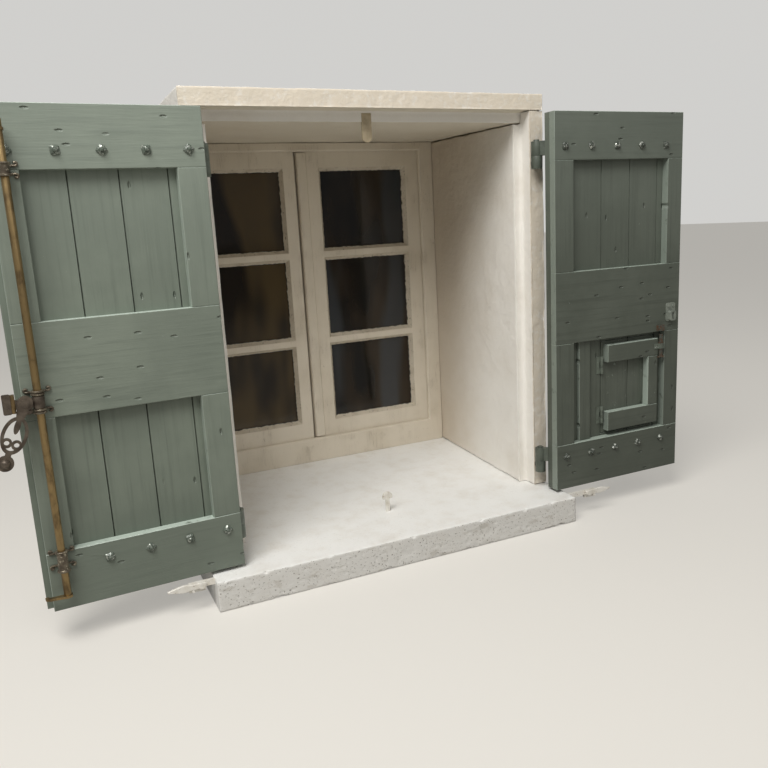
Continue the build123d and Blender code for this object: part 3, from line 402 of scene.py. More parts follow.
# Old oil gloss on planed pine: half dull, a warm white, dirty in upright streaks.
joinery, tree, shader, place = new_finish("cream_joinery_paint")
# Broad clouds where the gloss has dulled and yellowed.
cloud = marks(tree, place, 120, detail=3, roughness=0.5)
tone = tinted(tree, linear("dcd3c3"), linear("d0c6b4"), cloud, 0.35, 0.85)
# Upright dirty streaks left by the brush and by rain.
streak = marks(tree, place, (14, 14, 90), detail=4, roughness=0.6)
tone = tinted(tree, tone, linear("b8ad9a"), streak, 0.5, 0.85, share=0.16)
# Small chips down to grey wood.
chip = marks(tree, place, (7, 7, 12), detail=5, roughness=0.72)
chip = add(tree, "MapRange", {"Value": chip, "From Min": 0.665, "From Max": 0.70}, **SOFT)
shown = add(tree, "Math", {0: chip, 1: 0.6}, operation="MULTIPLY")
tone = add(tree, "MixRGB", {"Fac": shown, "Color1": tone, "Color2": linear("8d826f")})
# Hairline cracks along the grain, here and there.
crack = marks(tree, place, (5, 5, 140), detail=3, roughness=0.6)
crack = add(tree, "Math", {0: crack, 1: 0.5}, operation="SUBTRACT")
crack = add(tree, "Math", {0: crack}, operation="ABSOLUTE")
crack = add(tree, "MapRange", {"Value": crack, "From Min": 0.012, "From Max": 0.003}, **SOFT)
area = marks(tree, place, 60, detail=3, roughness=0.5)
area = add(tree, "MapRange", {"Value": area, "From Min": 0.5, "From Max": 0.6}, **SOFT)
crack = add(tree, "Math", {0: crack, 1: area}, operation="MULTIPLY")
shown = add(tree, "Math", {0: crack, 1: 0.35}, operation="MULTIPLY")
tone = add(tree, "MixRGB", {"Fac": shown, "Color1": tone, "Color2": linear("8a7d69")})
tree.links.new(tone, shader.inputs["Base Color"])
shader.inputs["Roughness"].default_value = 0.48
height = add(tree, "Math", {0: streak, 1: 0.6}, operation="MULTIPLY")
for pattern, rise in ((chip, -1.0), (crack, -0.5)):
    height = add(tree, "Math", {0: pattern, 1: rise, 2: height}, operation="MULTIPLY_ADD")
bump = add(tree, "Bump", {"Height": height, "Distance": 0.6 * MM})
tree.links.new(bump, shader.inputs["Normal"])
dress(["window_frame", "left_casement_frame", "right_casement_frame", "meeting_strip"], joinery, 1.2)


# The panes: old drawn glass, three to a casement, seen against a dark room. It is dusty and slightly
# uneven. It is painted nearly black as painted shade of the room, with soft upright patches of
# painted reflection.
def old_glass(name, dark, brown, grey, sky_reflection_share):
    """Dusty drawn glass: nearly black as painted shade of the room behind, with painted reflections in
    patches.
    """
    finish, tree, shader, place = new_finish(name)
    # Tall soft brown patches: painted reflection of the wall opposite, and dust.
    reflection_and_dust = marks(tree, place, (150, 150, 420), detail=2, roughness=0.5)
    tone = tinted(tree, linear(dark), linear(brown), reflection_and_dust, 0.42, 0.60)
    # Taller grey smears: painted reflection of the sky.
    sky_reflection = marks(tree, place, (110, 110, 700), detail=2, roughness=0.5)
    tone = tinted(tree, tone, linear(grey), sky_reflection, 0.52, 0.66, share=sky_reflection_share)
    tree.links.new(tone, shader.inputs["Base Color"])
    dull = add(tree, "Math", {0: reflection_and_dust, 1: 0.16}, operation="MULTIPLY")
    tree.links.new(dull, shader.inputs["Roughness"])
    shader.inputs["IOR"].default_value = 1.52
    shader.inputs["Specular IOR Level"].default_value = 0.32
    # Slow waves from the drawing, which bend the reflections.
    wave = marks(tree, place, (120, 120, 200), detail=1, roughness=0.4)
    bump = add(tree, "Bump", {"Height": wave, "Distance": 1.2 * MM})
    tree.links.new(bump, shader.inputs["Normal"])
    return finish


dress(
    ["left_casement_glass"], old_glass("brown_lit_glass", "1c1610", "4d4029", "2f2c26", sky_reflection_share=0.3))
dress(
    ["right_casement_glass"], old_glass("dark_room_glass", "0b0a09", "2f2519", "3e4348", sky_reflection_share=0.65))


# The putty: linseed putty pressed by thumb round every pane and painted over with the frame. It is
# brittle, with a ragged inner edge, and dark dirt shows on the glass where it has come away.
PANE_SIDES = {"left_casement": (-332 * MM, -79 * MM), "right_casement": (44 * MM, 304 * MM)}
PANE_FOOT = 212 * MM
PANE_TALL = 219 * MM
BAR_TALL = 34 * MM
PANE_ROWS = 3
PUTTY_WIDTH = 8 * MM
PUTTY_DEPTH = 17.5 * MM
CASEMENT_FRONT = 512.5 * MM
GLASS_CLEAR = 0.3 * MM
PUTTY_SKIN = 0.9 * MM
PUTTY_LAP = 2.4 * MM
PUTTY_CORNERS = 240
PUTTY_RAGGED = 0.007
PUTTY_SEED = 20

# Painted linseed putty: a crumbly skin, dull, with dark dirt at the glass.
putty_finish, tree, shader, place = new_finish("painted_putty")
# Patches of thicker and thinner paint.
cloud = marks(tree, place, 40, detail=4, roughness=0.6)
tone = tinted(tree, linear("d8cfbe"), linear("c2b7a3"), cloud, 0.4, 0.8)
# Crumbs and holes the size of a match head, brown inside.
crumb = marks(tree, place, 6, detail=5, roughness=0.72)
tone = tinted(tree, tone, linear("6a5d4c"), crumb, 0.60, 0.65)
# A dark uneven line of dirt, which starts about 4 mm before the glass: the noise adds 5.5 mm on average.
depth = add(tree, "SeparateXYZ", {"Vector": place}, output="Y")
wavy = marks(tree, place, 11, detail=4, roughness=0.65)
wavy = add(tree, "Math", {0: wavy, 1: 11 * MM, 2: depth}, operation="MULTIPLY_ADD")
dirt_from = CASEMENT_FRONT + PUTTY_DEPTH + 1.5 * MM
tone = tinted(tree, tone, linear("2f271e"), wavy, dirt_from, dirt_from + 1.5 * MM)
tree.links.new(tone, shader.inputs["Base Color"])
shader.inputs["Roughness"].default_value = 0.7
bump = add(tree, "Bump", {"Height": crumb, "Distance": 0.9 * MM})
tree.links.new(bump, shader.inputs["Normal"])


def join_into(whole, part):
    """Adds a mesh to another and frees it."""
    data = bpy.data.meshes.new("part")
    part.to_mesh(data)
    part.free()
    whole.from_mesh(data)
    bpy.data.meshes.remove(data)


def putty_ring(left, right, foot, top, seed):
    """A sloping fillet of putty round one pane, its inner edge ragged."""
    ring = bmesh.new()
    bmesh.ops.create_circle(ring, cap_ends=True, segments=PUTTY_CORNERS, radius=1)
    half_wide = (right - left) / 2 + PUTTY_WIDTH
    half_tall = (top - foot) / 2 + PUTTY_WIDTH
    centre = Vector(((left + right) / 2, 0, (foot + top) / 2))
    for vert in ring.verts:
        square = vert.co / max(abs(vert.co.x), abs(vert.co.y))
        vert.co = (centre.x + square.x * half_wide, CASEMENT_FRONT, centre.z + square.y * half_tall)
    middle = ring.faces[:][0]
    steps = (
        (PUTTY_WIDTH / 2 + PUTTY_SKIN, CASEMENT_FRONT + PUTTY_DEPTH / 2),
        (PUTTY_WIDTH / 2 + PUTTY_LAP - PUTTY_SKIN, CASEMENT_FRONT + PUTTY_DEPTH - GLASS_CLEAR),
    )
    for width, depth in steps:
        ring.normal_update()
        bmesh.ops.inset_region(
            ring, faces=[middle], thickness=width, use_boundary=True, use_even_offset=True)
        middle = max(ring.faces, key=lambda face: face.calc_area())
        for vert in middle.verts:
            vert.co.y = depth
    for vert in middle.verts:
        torn = max(-0.4, ragged(vert.co, 7, seed) + 0.7 * ragged(vert.co, 40, seed + 3))
        away = 1 + PUTTY_RAGGED * torn
        vert.co.x = centre.x + (vert.co.x - centre.x) * away
        vert.co.z = centre.z + (vert.co.z - centre.z) * away
    bmesh.ops.delete(ring, geom=[middle], context="FACES_ONLY")
    return ring


seed = PUTTY_SEED
for body, (left, right) in PANE_SIDES.items():
    putty = bmesh.new()
    for row in range(PANE_ROWS):
        foot = PANE_FOOT + row * (PANE_TALL + BAR_TALL)
        join_into(putty, putty_ring(left, right, foot, foot + PANE_TALL, seed))
        seed += 1
    piece = new_piece(putty, body + "_putty", putty_finish)
    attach(piece, body)


# The catches, hold-backs and window hinges: small forged iron pieces painted white many times, so
# the paint is thick and chipped to brown iron in spots. The catch at the head is cream, its cream
# made darker as painted shade under the head.
def iron_paint(name, coat, shade, chip, chip_share):
    """Thick brushed oil paint on forged iron: softly glossy, uneven, chipped through in spots."""
    finish, tree, shader, place = new_finish(name)
    # Patches where the coat is dirty or thin.
    cloud = marks(tree, place, 22, detail=4, roughness=0.6)
    tone = tinted(tree, linear(coat), linear(shade), cloud, 0.35, 0.75)
    # Sharp chips a few millimetres wide, duller than the paint.
    bare = marks(tree, place, 6, detail=5, roughness=0.7)
    limits = {"From Min": 0.68 - chip_share, "From Max": 0.72 - chip_share}
    bare = add(tree, "MapRange", {"Value": bare, **limits}, **SOFT)
    shown = add(tree, "Math", {0: bare, 1: 0.85}, operation="MULTIPLY")
    tone = add(tree, "MixRGB", {"Fac": shown, "Color1": tone, "Color2": linear(chip)})
    tree.links.new(tone, shader.inputs["Base Color"])
    dull = add(tree, "Math", {0: bare, 1: 0.3, 2: 0.42}, operation="MULTIPLY_ADD")
    tree.links.new(dull, shader.inputs["Roughness"])
    # Hammer marks under the paint, with the chips sunk in.
    hammered = marks(tree, place, 8, detail=4, roughness=0.6)
    height = add(tree, "Math", {0: bare, 1: -0.6, 2: hammered}, operation="MULTIPLY_ADD")
    bump = add(tree, "Bump", {"Height": height, "Distance": 0.5 * MM})
    tree.links.new(bump, shader.inputs["Normal"])
    return finish


white_iron = iron_paint("white_painted_iron", "ebe8e1", "d3cdc0", "8a6a4e", chip_share=0.05)
cream_iron = iron_paint("cream_painted_iron", "b9ab90", "9c8e74", "7d6247", chip_share=0.03)
dress(["sill_catch", "left_holdback_bar", "right_holdback_bar", "left_holdback_arm",
       "right_holdback_arm"], white_iron, 0.8)
dress(["head_catch"], cream_iron, 1.2)
dress(["casement_hinge_bases", "left_casement_hinges", "right_casement_hinges"], white_iron, 0.4)


# The leaves: upright pine boards nailed to rails and stile pieces, under brushed matt oil paint. The
# brush has left fine lines, and old dents, chips and paler rubbed arrises show through the paint.
# Faces that look up or to the left are painted paler as painted light, and the dents darker as painted
# shade.
LEAF_FOOT = 76 * MM
LEAF_TOP = 1016 * MM
PALER_FROM = LEAF_TOP / 2
PALEST_AT = LEAF_TOP + 30 * MM
DARKER_UP_TO = LEAF_FOOT + 350 * MM
DENT_PITCH_LONG = 80 * MM
DENT_PITCH_SHORT = 31 * MM
# How far a dent reaches from the middle of its cell, and its flat floor, in cells.
DENT_REACH = 0.105
DENT_FLOOR = 0.02
LEFT_TONES = ("757e73", "80897d", "666f65", "bcc9bf")
# The left leaf's boards are darker than its rails and stiles: painted shade in the recess.
LEFT_BOARD_SHADED_TONES = ("6f786d", "7a8377", "5f685e", "bcc9bf")
# The right leaf's tones are the left's made darker: painted shade of a leaf in less light. The hatch uses
# them too.
RIGHT_SHADED_TONES = ("535950", "5d635a", "464b43", "a9b5ab")


def shutter_paint(name, tones, foot_darkening, along, keep_dents=0.60, chip_level=0.715, left_face_light=0.45):
    """Brushed matt oil paint on pine whose grain runs along X or Z; the last tone is for wear and painted
    light.
    """
    body, light, dark, worn_and_lit = [linear(code) for code in tones]
    level = along == "X"
    finish, tree, shader, place = new_finish(name)
    # Broad clouds where the paint has faded unevenly.
    cloud = marks(tree, place, 150, detail=4, roughness=0.6)
    tone = tinted(tree, body, light, cloud, 0.35, 0.7)
    # Long soft stripes where the growth rings of the pine show through.
    ring = marks(tree, place, (260, 9, 9) if level else (9, 9, 260), detail=3, roughness=0.6)
    tone = tinted(tree, tone, dark, ring, 0.48, 0.72, share=0.5)
    # Fine pale lines from the bristles, drawn coarser than real so that they show.
    brush = marks(tree, place, (120, 2.6, 2.6) if level else (2.6, 2.6, 120), detail=3, roughness=0.6)
    tone = tinted(tree, tone, light, brush, 0.52, 0.8, share=0.2)
    # Paler toward the top and darker toward the foot.
    height = add(tree, "SeparateXYZ", {"Vector": place}, output="Z")
    tone = tinted(tree, tone, worn_and_lit, height, PALER_FROM, PALEST_AT, share=0.16)
    tone = tinted(tree, tone, dark, height, DARKER_UP_TO, LEAF_FOOT, share=foot_darkening)
    # Scattered narrow dents along the grain, each in a cell of its own, some cells left out.
    pitch_x = DENT_PITCH_LONG if level else DENT_PITCH_SHORT
    pitch_z = DENT_PITCH_SHORT if level else DENT_PITCH_LONG
    column = add(tree, "SeparateXYZ", {"Vector": place}, output="X")
    column = add(tree, "Math", {0: column, 1: pitch_x}, operation="DIVIDE")
    row = add(tree, "Math", {0: height, 1: pitch_z}, operation="DIVIDE")
    flat = add(tree, "CombineXYZ", {"X": column, "Y": row})
    near = add(tree, "TexVoronoi", {"Vector": flat, "Scale": 1}, voronoi_dimensions="2D")
    lot = add(tree, "SeparateColor", {"Color": near.node.outputs["Color"]})
    limits = {"From Min": keep_dents, "From Max": keep_dents + 0.02}
    kept = add(tree, "MapRange", {"Value": lot, **limits}, **SOFT)
    dent = add(tree, "MapRange", {"Value": near, "From Min": DENT_REACH, "From Max": DENT_FLOOR}, **SOFT)
    dent = add(tree, "Math", {0: dent, 1: kept}, operation="MULTIPLY")
    # The dents are darkened with the dark tone: painted shade in the hollows.
    shown = add(tree, "Math", {0: dent, 1: 0.22}, operation="MULTIPLY")
    tone = add(tree, "MixRGB", {"Fac": shown, "Color1": tone, "Color2": dark})
    # Sharp pale chips, where an older and lighter coat comes through.
    chip = marks(tree, place, (11, 11, 15), detail=5, roughness=0.75)
    limits = {"From Min": chip_level, "From Max": chip_level + 0.02}
    chip = add(tree, "MapRange", {"Value": chip, **limits}, **SOFT)
    shown = add(tree, "Math", {0: chip, 1: 0.65}, operation="MULTIPLY")
    tone = add(tree, "MixRGB", {"Fac": shown, "Color1": tone, "Color2": worn_and_lit})
    # Paler on narrow faces that look up or to the left, in broken lengths: the upward faces are partly
    # rubbed and dusty, and all of them are painted light from above and from the left.
    normal = add(tree, "TexCoord", output="Normal")
    upward = add(tree, "SeparateXYZ", {"Vector": normal}, output="Z")
    upward = add(tree, "MapRange", {"Value": upward, "From Min": 0.45, "From Max": 0.75}, **SOFT)
    aside = add(tree, "SeparateXYZ", {"Vector": normal}, output="X")
    limits = {"From Min": -0.45, "From Max": -0.75, "To Max": left_face_light}
    aside = add(tree, "MapRange", {"Value": aside, **limits}, **SOFT)
    rubbed_and_lit = add(tree, "Math", {0: upward, 1: aside}, operation="MAXIMUM")
    broken = marks(tree, place, 22, detail=4, roughness=0.6)
    broken = add(tree, "MapRange", {"Value": broken, "From Min": 0.22, "From Max": 0.42}, **SOFT)
    rubbed_and_lit = add(tree, "Math", {0: rubbed_and_lit, 1: broken}, operation="MULTIPLY")
    tone = add(tree, "MixRGB", {"Fac": rubbed_and_lit, "Color1": tone, "Color2": worn_and_lit})
    tree.links.new(tone, shader.inputs["Base Color"])
    # The bristle lines are duller than the paint between them.
    limits = {"From Min": 0.3, "From Max": 0.8, "To Min": 0.40, "To Max": 0.62}
    dull = add(tree, "MapRange", {"Value": brush, **limits}, **SOFT)
    tree.links.new(dull, shader.inputs["Roughness"])
    relief = add(tree, "Math", {0: brush, 1: 0.16}, operation="MULTIPLY")
    for pattern, rise in ((ring, 0.30), (dent, -2.6), (chip, -0.25)):
        relief = add(tree, "Math", {0: pattern, 1: rise, 2: relief}, operation="MULTIPLY_ADD")
    bump = add(tree, "Bump", {"Height": relief, "Distance": 1.6 * MM})
    tree.links.new(bump, shader.inputs["Normal"])
    return finish


left_upright = shutter_paint(
    "left_leaf_paint_upright", LEFT_TONES, foot_darkening=0.6, along="Z", keep_dents=0.88)
left_level = shutter_paint("left_leaf_paint_level", LEFT_TONES, foot_darkening=0.6, along="X")
left_board = shutter_paint(
    "left_leaf_paint_boards", LEFT_BOARD_SHADED_TONES, foot_darkening=0.5, along="Z", keep_dents=0.95, left_face_light=0)
dress(["left_boards"], left_board, 0.6)
dress(["left_hinge_stiles", "left_free_stiles"], left_upright, 0.9)
dress(["left_bottom_rail", "left_mid_rail", "left_top_rail"], left_level, 1.0)
right_upright = shutter_paint(
    "right_leaf_paint_upright", RIGHT_SHADED_TONES, foot_darkening=0.2, along="Z", keep_dents=0.88, chip_level=0.70)
right_level = shutter_paint(
    "right_leaf_paint_level", RIGHT_SHADED_TONES, foot_darkening=0.2, along="X", chip_level=0.70)
right_board = shutter_paint(
    "right_leaf_paint_boards", RIGHT_SHADED_TONES, foot_darkening=0.2, along="Z", keep_dents=0.93, left_face_light=0)
dress(["right_boards"], right_board, 0.6)
dress(["right_hinge_stiles", "right_free_stiles", "raised_strip"], right_upright, 0.9)
dress(["right_bottom_rail", "right_mid_rail", "right_top_rail"], right_level, 1.0)


# The hatch: two short boards with three battens nailed on, opened by hand more often than the leaf,
# so that its paint is chipped and its edges are rubbed. The side batten's face that looks left is
# painted pale as painted light.
hatch_board = shutter_paint(
    "hatch_paint_boards", RIGHT_SHADED_TONES, foot_darkening=0.2, along="Z",
    keep_dents=0.9, chip_level=0.645, left_face_light=0)
hatch_upright = shutter_paint(
    "hatch_paint_upright", RIGHT_SHADED_TONES, foot_darkening=0.2, along="Z",
    keep_dents=0.9, chip_level=0.655, left_face_light=0.9)
dress(["hatch_boards"], hatch_board, 0.6)
dress(["hatch_side_batten"], hatch_upright, 1.2)
dress(["hatch_top_batten", "hatch_bottom_batten"], right_level, 1.0)


# The straps, gudgeons and hatch irons: forged iron, nailed on or let into the jambs, and painted with
# the leaves. The hatch's small irons are knocked and chipped to paler paint.
green_iron = iron_paint("green_painted_iron", "727b71", "5f685e", "4a4038", chip_share=0.02)
dark_iron = iron_paint("shaded_green_painted_iron", "585f56", "474d45", "3b3029", chip_share=0.02)
chipped_iron = iron_paint("chipped_hatch_iron", "687066", "474d45", "b9beb5", chip_share=0.07)
dress(["left_straps", "left_gudgeons"], green_iron, 0.7)
dress(["right_straps", "right_gudgeons"], dark_iron, 0.5)
dress(["hatch_hinge_bases", "hatch_hinge_leaves", "hatch_bolt_guide"], chipped_iron, 0.5)


# The nails: hand-forged rose heads, hammered to four hollow facets round a small boss, riveted behind
# the leaf and painted over. What stands up is rubbed bright, like a small star.
HEAD_RISE = 9 * MM
SHANK_RADIUS = 3 * MM
RIVET_RADIUS = 5.5 * MM
RIVET_RISE = 2 * MM
# Height above the leaf and radius, from the rim up to the boss's tip.
HEAD_PROFILE = (
    (0, 11 * MM), (2.2 * MM, 10.6 * MM), (4.6 * MM, 7.6 * MM), (5.6 * MM, 5.0 * MM),
    (5.2 * MM, 4.0 * MM), (7.4 * MM, 3.6 * MM), (8.6 * MM, 2.2 * MM), (HEAD_RISE, 0.6 * MM),
)
BOSS_RADIUS = 5 * MM
FACET_HOLLOW = 0.2
HAMMERED_OFF = 0.8 * MM
NAIL_CORNERS = 16
NAILS_APART = 40 * MM
LEFT_LEAF_TURN = math.radians(2.5)
UP = Vector((0, 0, 1))


def turned(stations, segments):
    """A closed round shape about the Z axis through (height, radius) stations, from the foot up."""
    mesh = bmesh.new()
    bmesh.ops.create_circle(mesh, cap_ends=True, segments=segments, radius=stations[0][1])
    top = mesh.faces[:][0]
    for vert in top.verts:
        vert.co.z = stations[0][0]
    for height, radius in stations[1:]:
        top = bmesh.ops.extrude_discrete_faces(mesh, faces=[top])["faces"][0]
        for vert in top.verts:
            outward = Vector((vert.co.x, vert.co.y)).normalized() * radius
            vert.co = (outward.x, outward.y, height)
    bmesh.ops.holes_fill(mesh, edges=[edge for edge in mesh.edges if edge.is_boundary])
    bmesh.ops.recalc_face_normals(mesh, faces=mesh.faces)
    return mesh


def nails_of(name, across):
    """The corners of every separate nail in a CAD node, told apart by their place on the leaf."""
    groups = []
    for vert in nodes[name].data.vertices:
        corner = nodes[name].matrix_world @ vert.co
        place = Vector((corner.dot(across), corner.z))
        for spot, group in groups:
            if (spot - place).length < NAILS_APART:
                group.append(corner)
                break
        else:
            groups.append((place, [corner]))
    return [group for spot, group in groups]


def rose_heads(name, body, finish, out):
    """Forged nails in place of the plain ones of a CAD node, their heads standing along out."""
    mesh = bmesh.new()
    across = UP.cross(out).normalized()
    tilt = Matrix((across, UP, out)).transposed().to_4x4()
    for number, group in enumerate(nails_of(name, across)):
        sides = [corner.dot(across) for corner in group]
        heights = [corner.z for corner in group]
        depths = [corner.dot(out) for corner in group]
        tail = min(depths) - max(depths) + HEAD_RISE
        foot = (across * (min(sides) + max(sides)) / 2 + UP * (min(heights) + max(heights)) / 2
                + out * (max(depths) - HEAD_RISE))
        rivet = (
            (tail, RIVET_RADIUS * 0.6), (tail + RIVET_RISE * 0.5, RIVET_RADIUS * 0.95),
            (tail + RIVET_RISE, RIVET_RADIUS), (tail + RIVET_RISE, SHANK_RADIUS), (0, SHANK_RADIUS),
        )
        nail = turned(rivet + HEAD_PROFILE, NAIL_CORNERS)
        for vert in nail.verts:
            if vert.co.z >= 0 and vert.co.xy.length > BOSS_RADIUS:
                round_by = math.atan2(vert.co.y, vert.co.x)
                waist = 1 - FACET_HOLLOW * abs(math.sin(2 * round_by))
                vert.co.x *= waist
                vert.co.y *= waist
            vert.co.x += ragged(vert.co + foot, 7, 11) * HAMMERED_OFF
            vert.co.y += ragged(vert.co + foot, 7, 12) * HAMMERED_OFF
        spin = math.radians(45 * (number % 2) + 30 * ragged(foot, 20, number + 1))
        place = Matrix.Translation(foot) @ tilt @ Matrix.Rotation(spin, 4, "Z")
        bmesh.ops.transform(nail, matrix=place, verts=nail.verts)
        join_into(mesh, nail)
    nails = new_piece(mesh, name + "_forged", finish)
    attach(nails, body)
    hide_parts(name)


def nail_paint(name, coat, bright):
    """Glossy thick paint on small forged heads, rubbed to bright iron on what stands up."""
    finish, tree, shader, place = new_finish(name)
    # Patches as small as a facet, some painted and some bright.
    patch = marks(tree, place, 7, detail=4, roughness=0.65)
    tone = tinted(tree, linear(coat), linear(bright), patch, 0.52, 0.60)
    tree.links.new(tone, shader.inputs["Base Color"])
    limits = {"From Min": 0.5, "From Max": 0.62, "To Max": 0.7}
    metal = add(tree, "MapRange", {"Value": patch, **limits}, **SOFT)
    tree.links.new(metal, shader.inputs["Metallic"])
    shader.inputs["Roughness"].default_value = 0.26
    # Hammer marks that break up the highlight.
    hammered = marks(tree, place, 4, detail=3, roughness=0.6)
    bump = add(tree, "Bump", {"Height": hammered, "Distance": 0.4 * MM})
    tree.links.new(bump, shader.inputs["Normal"])
    return finish


left_out = Vector((math.sin(LEFT_LEAF_TURN), -math.cos(LEFT_LEAF_TURN), 0))
right_out = Vector((0, -1, 0))
rose_heads("left_nails", "left_leaf", nail_paint("left_nail_paint", "5d665d", "b9beb6"), left_out)
# The right leaf's nails are painted darker than the left's: painted shade of the right leaf.
rose_heads("right_nails", "right_leaf", nail_paint("right_nail_paint", "444a43", "c3c7c0"), right_out)


# The rod bolt: a drawn iron rod with its hooks and roller, bronzed with gilt paint and rubbed brown
# by hands and by the guides that it turns in.

# Gilt paint on drawn iron: half bright metal, in long brown and golden patches.
gilt, tree, shader, place = new_finish("rubbed_gilt_paint")
# Long patches of bright and rubbed gilt along the rod.
wear = marks(tree, place, (16, 16, 34), detail=4, roughness=0.6)
tone = tinted(tree, linear("a08961"), linear("695840"), wear, 0.40, 0.75)
# Small dark spots of dirt and rust.
spot = marks(tree, place, 5, detail=4, roughness=0.7)
tone = tinted(tree, tone, linear("4d4032"), spot, 0.62, 0.74, share=0.5)
tree.links.new(tone, shader.inputs["Base Color"])
shader.inputs["Metallic"].default_value = 0.88
dull = add(tree, "Math", {0: wear, 1: 0.22, 2: 0.24}, operation="MULTIPLY_ADD")
tree.links.new(dull, shader.inputs["Roughness"])
# Fine drawing lines along the rod, drawn coarser than real.
drawn = marks(tree, place, (3, 3, 14), detail=4, roughness=0.6)
bump = add(tree, "Bump", {"Height": drawn, "Distance": 0.25 * MM})
tree.links.new(bump, shader.inputs["Normal"])
dress(["bolt_rod", "rod_hooks", "lug_roller"], gilt, 0.4)


# The handle, its lug, plate and keeper: sand-cast iron, pinned or screwed on, bare and brown from
# handling. Only the keeper on the right leaf still has grey paint.
def cast_iron(name, tones, patch_mm, spot, metallic, roughness, grain_mm, grain_depth_mm):
    """Sand-cast iron, brown from handling; spot is its tone, size in mm, limits and share."""
    finish, tree, shader, place = new_finish(name)
    # Patches of old paint film and bare brown iron.
    patch = marks(tree, place, patch_mm, detail=4, roughness=0.6)
    tone = tinted(tree, linear(tones[0]), linear(tones[1]), patch, 0.35, 0.7)
    # Small paler spots, partly rubbed iron and, on the guides, partly painted highlights.
    code, size_mm, start, end, amount = spot
    pale = marks(tree, place, size_mm, detail=4, roughness=0.7)
    tone = tinted(tree, tone, linear(code), pale, start, end, share=amount)
    tree.links.new(tone, shader.inputs["Base Color"])
    shader.inputs["Metallic"].default_value = metallic
    shader.inputs["Roughness"].default_value = roughness
    # The grain of the casting sand.
    sand = marks(tree, place, grain_mm, detail=4, roughness=0.65)
    bump = add(tree, "Bump", {"Height": sand, "Distance": grain_depth_mm * MM})
    tree.links.new(bump, shader.inputs["Normal"])
    return finish


brown_iron = cast_iron(
    "brown_cast_iron", ("6f655a", "4b423a"), patch_mm=16, spot=("8a7c6c", 4, 0.6, 0.7, 0.5),
    metallic=0.55, roughness=0.4, grain_mm=2.5, grain_depth_mm=0.35)
dress(["rod_lug", "lug_plate", "handle"], brown_iron, 0.6)
keeper_paint = iron_paint("worn_keeper_paint", "858b82", "59605a", "c6c9c2", chip_share=0.05)
dress(["handle_keeper"], keeper_paint, 0.6)


# The rod's guides: cast sockets with a raised rim at each end, held to the leaf by forged straps
# whose ends are rolled into small scrolls. The rims are rubbed pale by the turning rod, and pale
# spots all over the guides are partly painted highlights.
LEFT_HINGE = Vector((-405, -20, 76)) * MM
HINGE_TO_LEAF = Vector((-10, -58, 0)) * MM
ROD_FROM_HINGE = 355 * MM
ROD_OUT = 20 * MM
SOCKET_RIM = 12.2 * MM
SOCKET_RIM_EDGE = 11.2 * MM
SOCKET_NECK = 10.4 * MM
SOCKET_BODY = 9.8 * MM
SOCKET_BORE = 8 * MM
SOCKET_CORNERS = 24
WEB_WIDE = 15 * MM
WEB_DEEP = 14 * MM
WEB_SHORTER = 3 * MM
WEB_EDGE = 1.4 * MM
STRAP_BAR = 2.3 * MM
STRAP_CORNERS = 8
STRAP_STARTS = 3 * MM
STRAP_BENDS = 12 * MM
SCROLL = 3.6 * MM
SCROLL_OUT = 19 * MM
SCROLL_POINTS = 11
SCROLL_STEP = 26
SCROLL_SHRINK = 0.045
# Each guide's sockets from low to high and its straps, with the way their ends roll, in mm.
GUIDES = {
    "rod_guide_top": (((815, 839),), ((820, -1), (834, 1))),
    "rod_guide_mid": (((397, 406), (431, 440)), ((402, -1), (435, 1))),
    "rod_guide_bottom": (((86, 128),), ((94, -1), (119, 1))),
}


def swept(path, radius):
    """A round bar along a path of points, closed at both ends."""
    mesh = bmesh.new()
    ring = bmesh.ops.create_circle(mesh, segments=STRAP_CORNERS, radius=radius)["verts"]
    edges = mesh.edges[:]
    heading = (path[1] - path[0]).normalized()
    start = Matrix.Translation(path[0]) @ heading.to_track_quat("Z", "Y").to_matrix().to_4x4()
    bmesh.ops.transform(mesh, matrix=start, verts=ring)
    for index in range(1, len(path)):
        grown = bmesh.ops.extrude_edge_only(mesh, edges=edges)["geom"]
        ring = [part for part in grown if isinstance(part, bmesh.types.BMVert)]
        edges = [part for part in grown if isinstance(part, bmesh.types.BMEdge)]
        onward = (path[min(index + 1, len(path) - 1)] - path[index - 1]).normalized()
        swing = heading.rotation_difference(onward).to_matrix().to_4x4()
        shift = Matrix.Translation(path[index]) @ swing @ Matrix.Translation(-path[index - 1])
        bmesh.ops.transform(mesh, matrix=shift, verts=ring)
        heading = onward
    bmesh.ops.holes_fill(mesh, edges=[edge for edge in mesh.edges if edge.is_boundary])
    bmesh.ops.recalc_face_normals(mesh, faces=mesh.faces)
    return mesh


def scrolled_strap(height, way):
    """A strap across the leaf behind the socket, its ends rolled up (way 1) or down (way -1)."""
    path = []
    for side in (-1, 1):
        half = [Vector((side * along, -STRAP_BAR, height)) for along in (STRAP_STARTS, STRAP_BENDS)]
        middle = Vector((side * SCROLL_OUT, -STRAP_BAR * 1.3, height + way * SCROLL))
        for point in range(SCROLL_POINTS):
            angle = math.radians(-90 + SCROLL_STEP * point)
            radius = SCROLL * (1 - SCROLL_SHRINK * point)
            rolled = Vector((side * math.cos(angle) * radius, 0, way * math.sin(angle) * radius))
            half.append(middle + rolled)
        path = half[::-1] if side < 0 else path + half
    return swept(path, STRAP_BAR)


def socket(low, high):
    """A round socket about the rod with a rim at each end."""
    foot = (
        (0, SOCKET_BORE), (0, SOCKET_RIM_EDGE), (0.8 * MM, SOCKET_RIM), (3 * MM, SOCKET_RIM),
        (4 * MM, SOCKET_NECK), (4.6 * MM, SOCKET_BODY),
    )
    stations = [(low + rise, radius) for rise, radius in foot]
    stations += [(high - rise, radius) for rise, radius in reversed(foot)]
    return turned(stations, SOCKET_CORNERS)


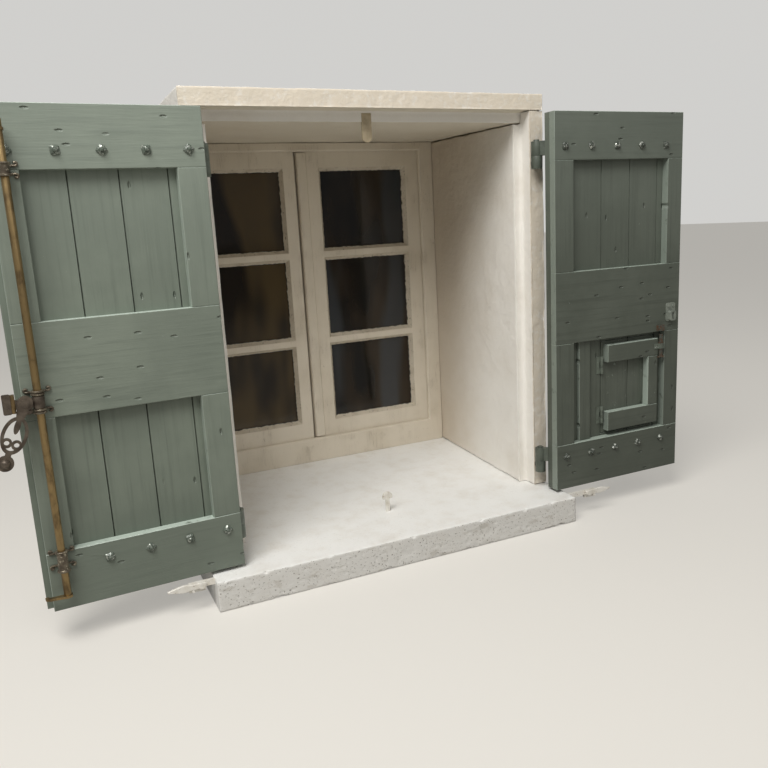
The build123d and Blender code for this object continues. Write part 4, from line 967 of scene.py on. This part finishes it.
rims = cast_iron(
    "rubbed_and_highlit_cast_rims", ("7b7263", "544b41"), patch_mm=14, spot=("b3ab98", 5, 0.56, 0.64, 1.0),
    metallic=0.6, roughness=0.34, grain_mm=3, grain_depth_mm=0.3)
on_leaf = (Matrix.Translation(LEFT_HINGE) @ Matrix.Rotation(LEFT_LEAF_TURN, 4, "Z")
           @ Matrix.Translation(HINGE_TO_LEAF) @ Matrix.Translation((-ROD_FROM_HINGE, 0, 0)))
for name, (sockets, straps) in GUIDES.items():
    mesh = bmesh.new()
    for low, high in sockets:
        ring = socket(low * MM, high * MM)
        bmesh.ops.translate(ring, vec=(0, -ROD_OUT, 0), verts=ring.verts)
        join_into(mesh, ring)
        # The small cast block that carries the socket.
        web = bmesh.new()
        bmesh.ops.create_cube(web, size=1)
        size = Matrix.Diagonal((WEB_WIDE, WEB_DEEP, (high - low) * MM - WEB_SHORTER, 1))
        middle = Matrix.Translation((0, -WEB_DEEP / 2, (low + high) / 2 * MM))
        bmesh.ops.transform(web, matrix=middle @ size, verts=web.verts)
        bmesh.ops.bevel(
            web, geom=web.edges, offset=WEB_EDGE, segments=2, profile=0.5, affect="EDGES", material=-1)
        join_into(mesh, web)
    for height, way in straps:
        join_into(mesh, scrolled_strap(height * MM, way))
    bmesh.ops.transform(mesh, matrix=on_leaf, verts=mesh.verts)
    guide = new_piece(mesh, name + "_forged", rims)
    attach(guide, "left_leaf")
    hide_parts(name)


# The hatch bolt and staple: thin wrought strap iron, bent and nailed on. It has rusted red-brown
# where the green paint is gone.

# Rusted strap iron: matt and scaly, red-brown with islands of green.
rust, tree, shader, place = new_finish("rusted_strap_iron")
# Rust with islands of the old green paint.
island = marks(tree, place, 9, detail=5, roughness=0.7)
tone = tinted(tree, linear("55402f"), linear("4b524d"), island, 0.4, 0.62)
# Bright orange-brown spots of fresh rust.
fresh = marks(tree, place, 4, detail=4, roughness=0.7)
tone = tinted(tree, tone, linear("7a4a2c"), fresh, 0.58, 0.7, share=0.7)
tree.links.new(tone, shader.inputs["Base Color"])
shader.inputs["Roughness"].default_value = 0.7
# The scaly surface of rust.
scale = marks(tree, place, 2, detail=4, roughness=0.7)
bump = add(tree, "Bump", {"Height": scale, "Distance": 0.3 * MM})
tree.links.new(bump, shader.inputs["Normal"])
dress(["hatch_bolt", "hatch_staple"], rust, 0.3)
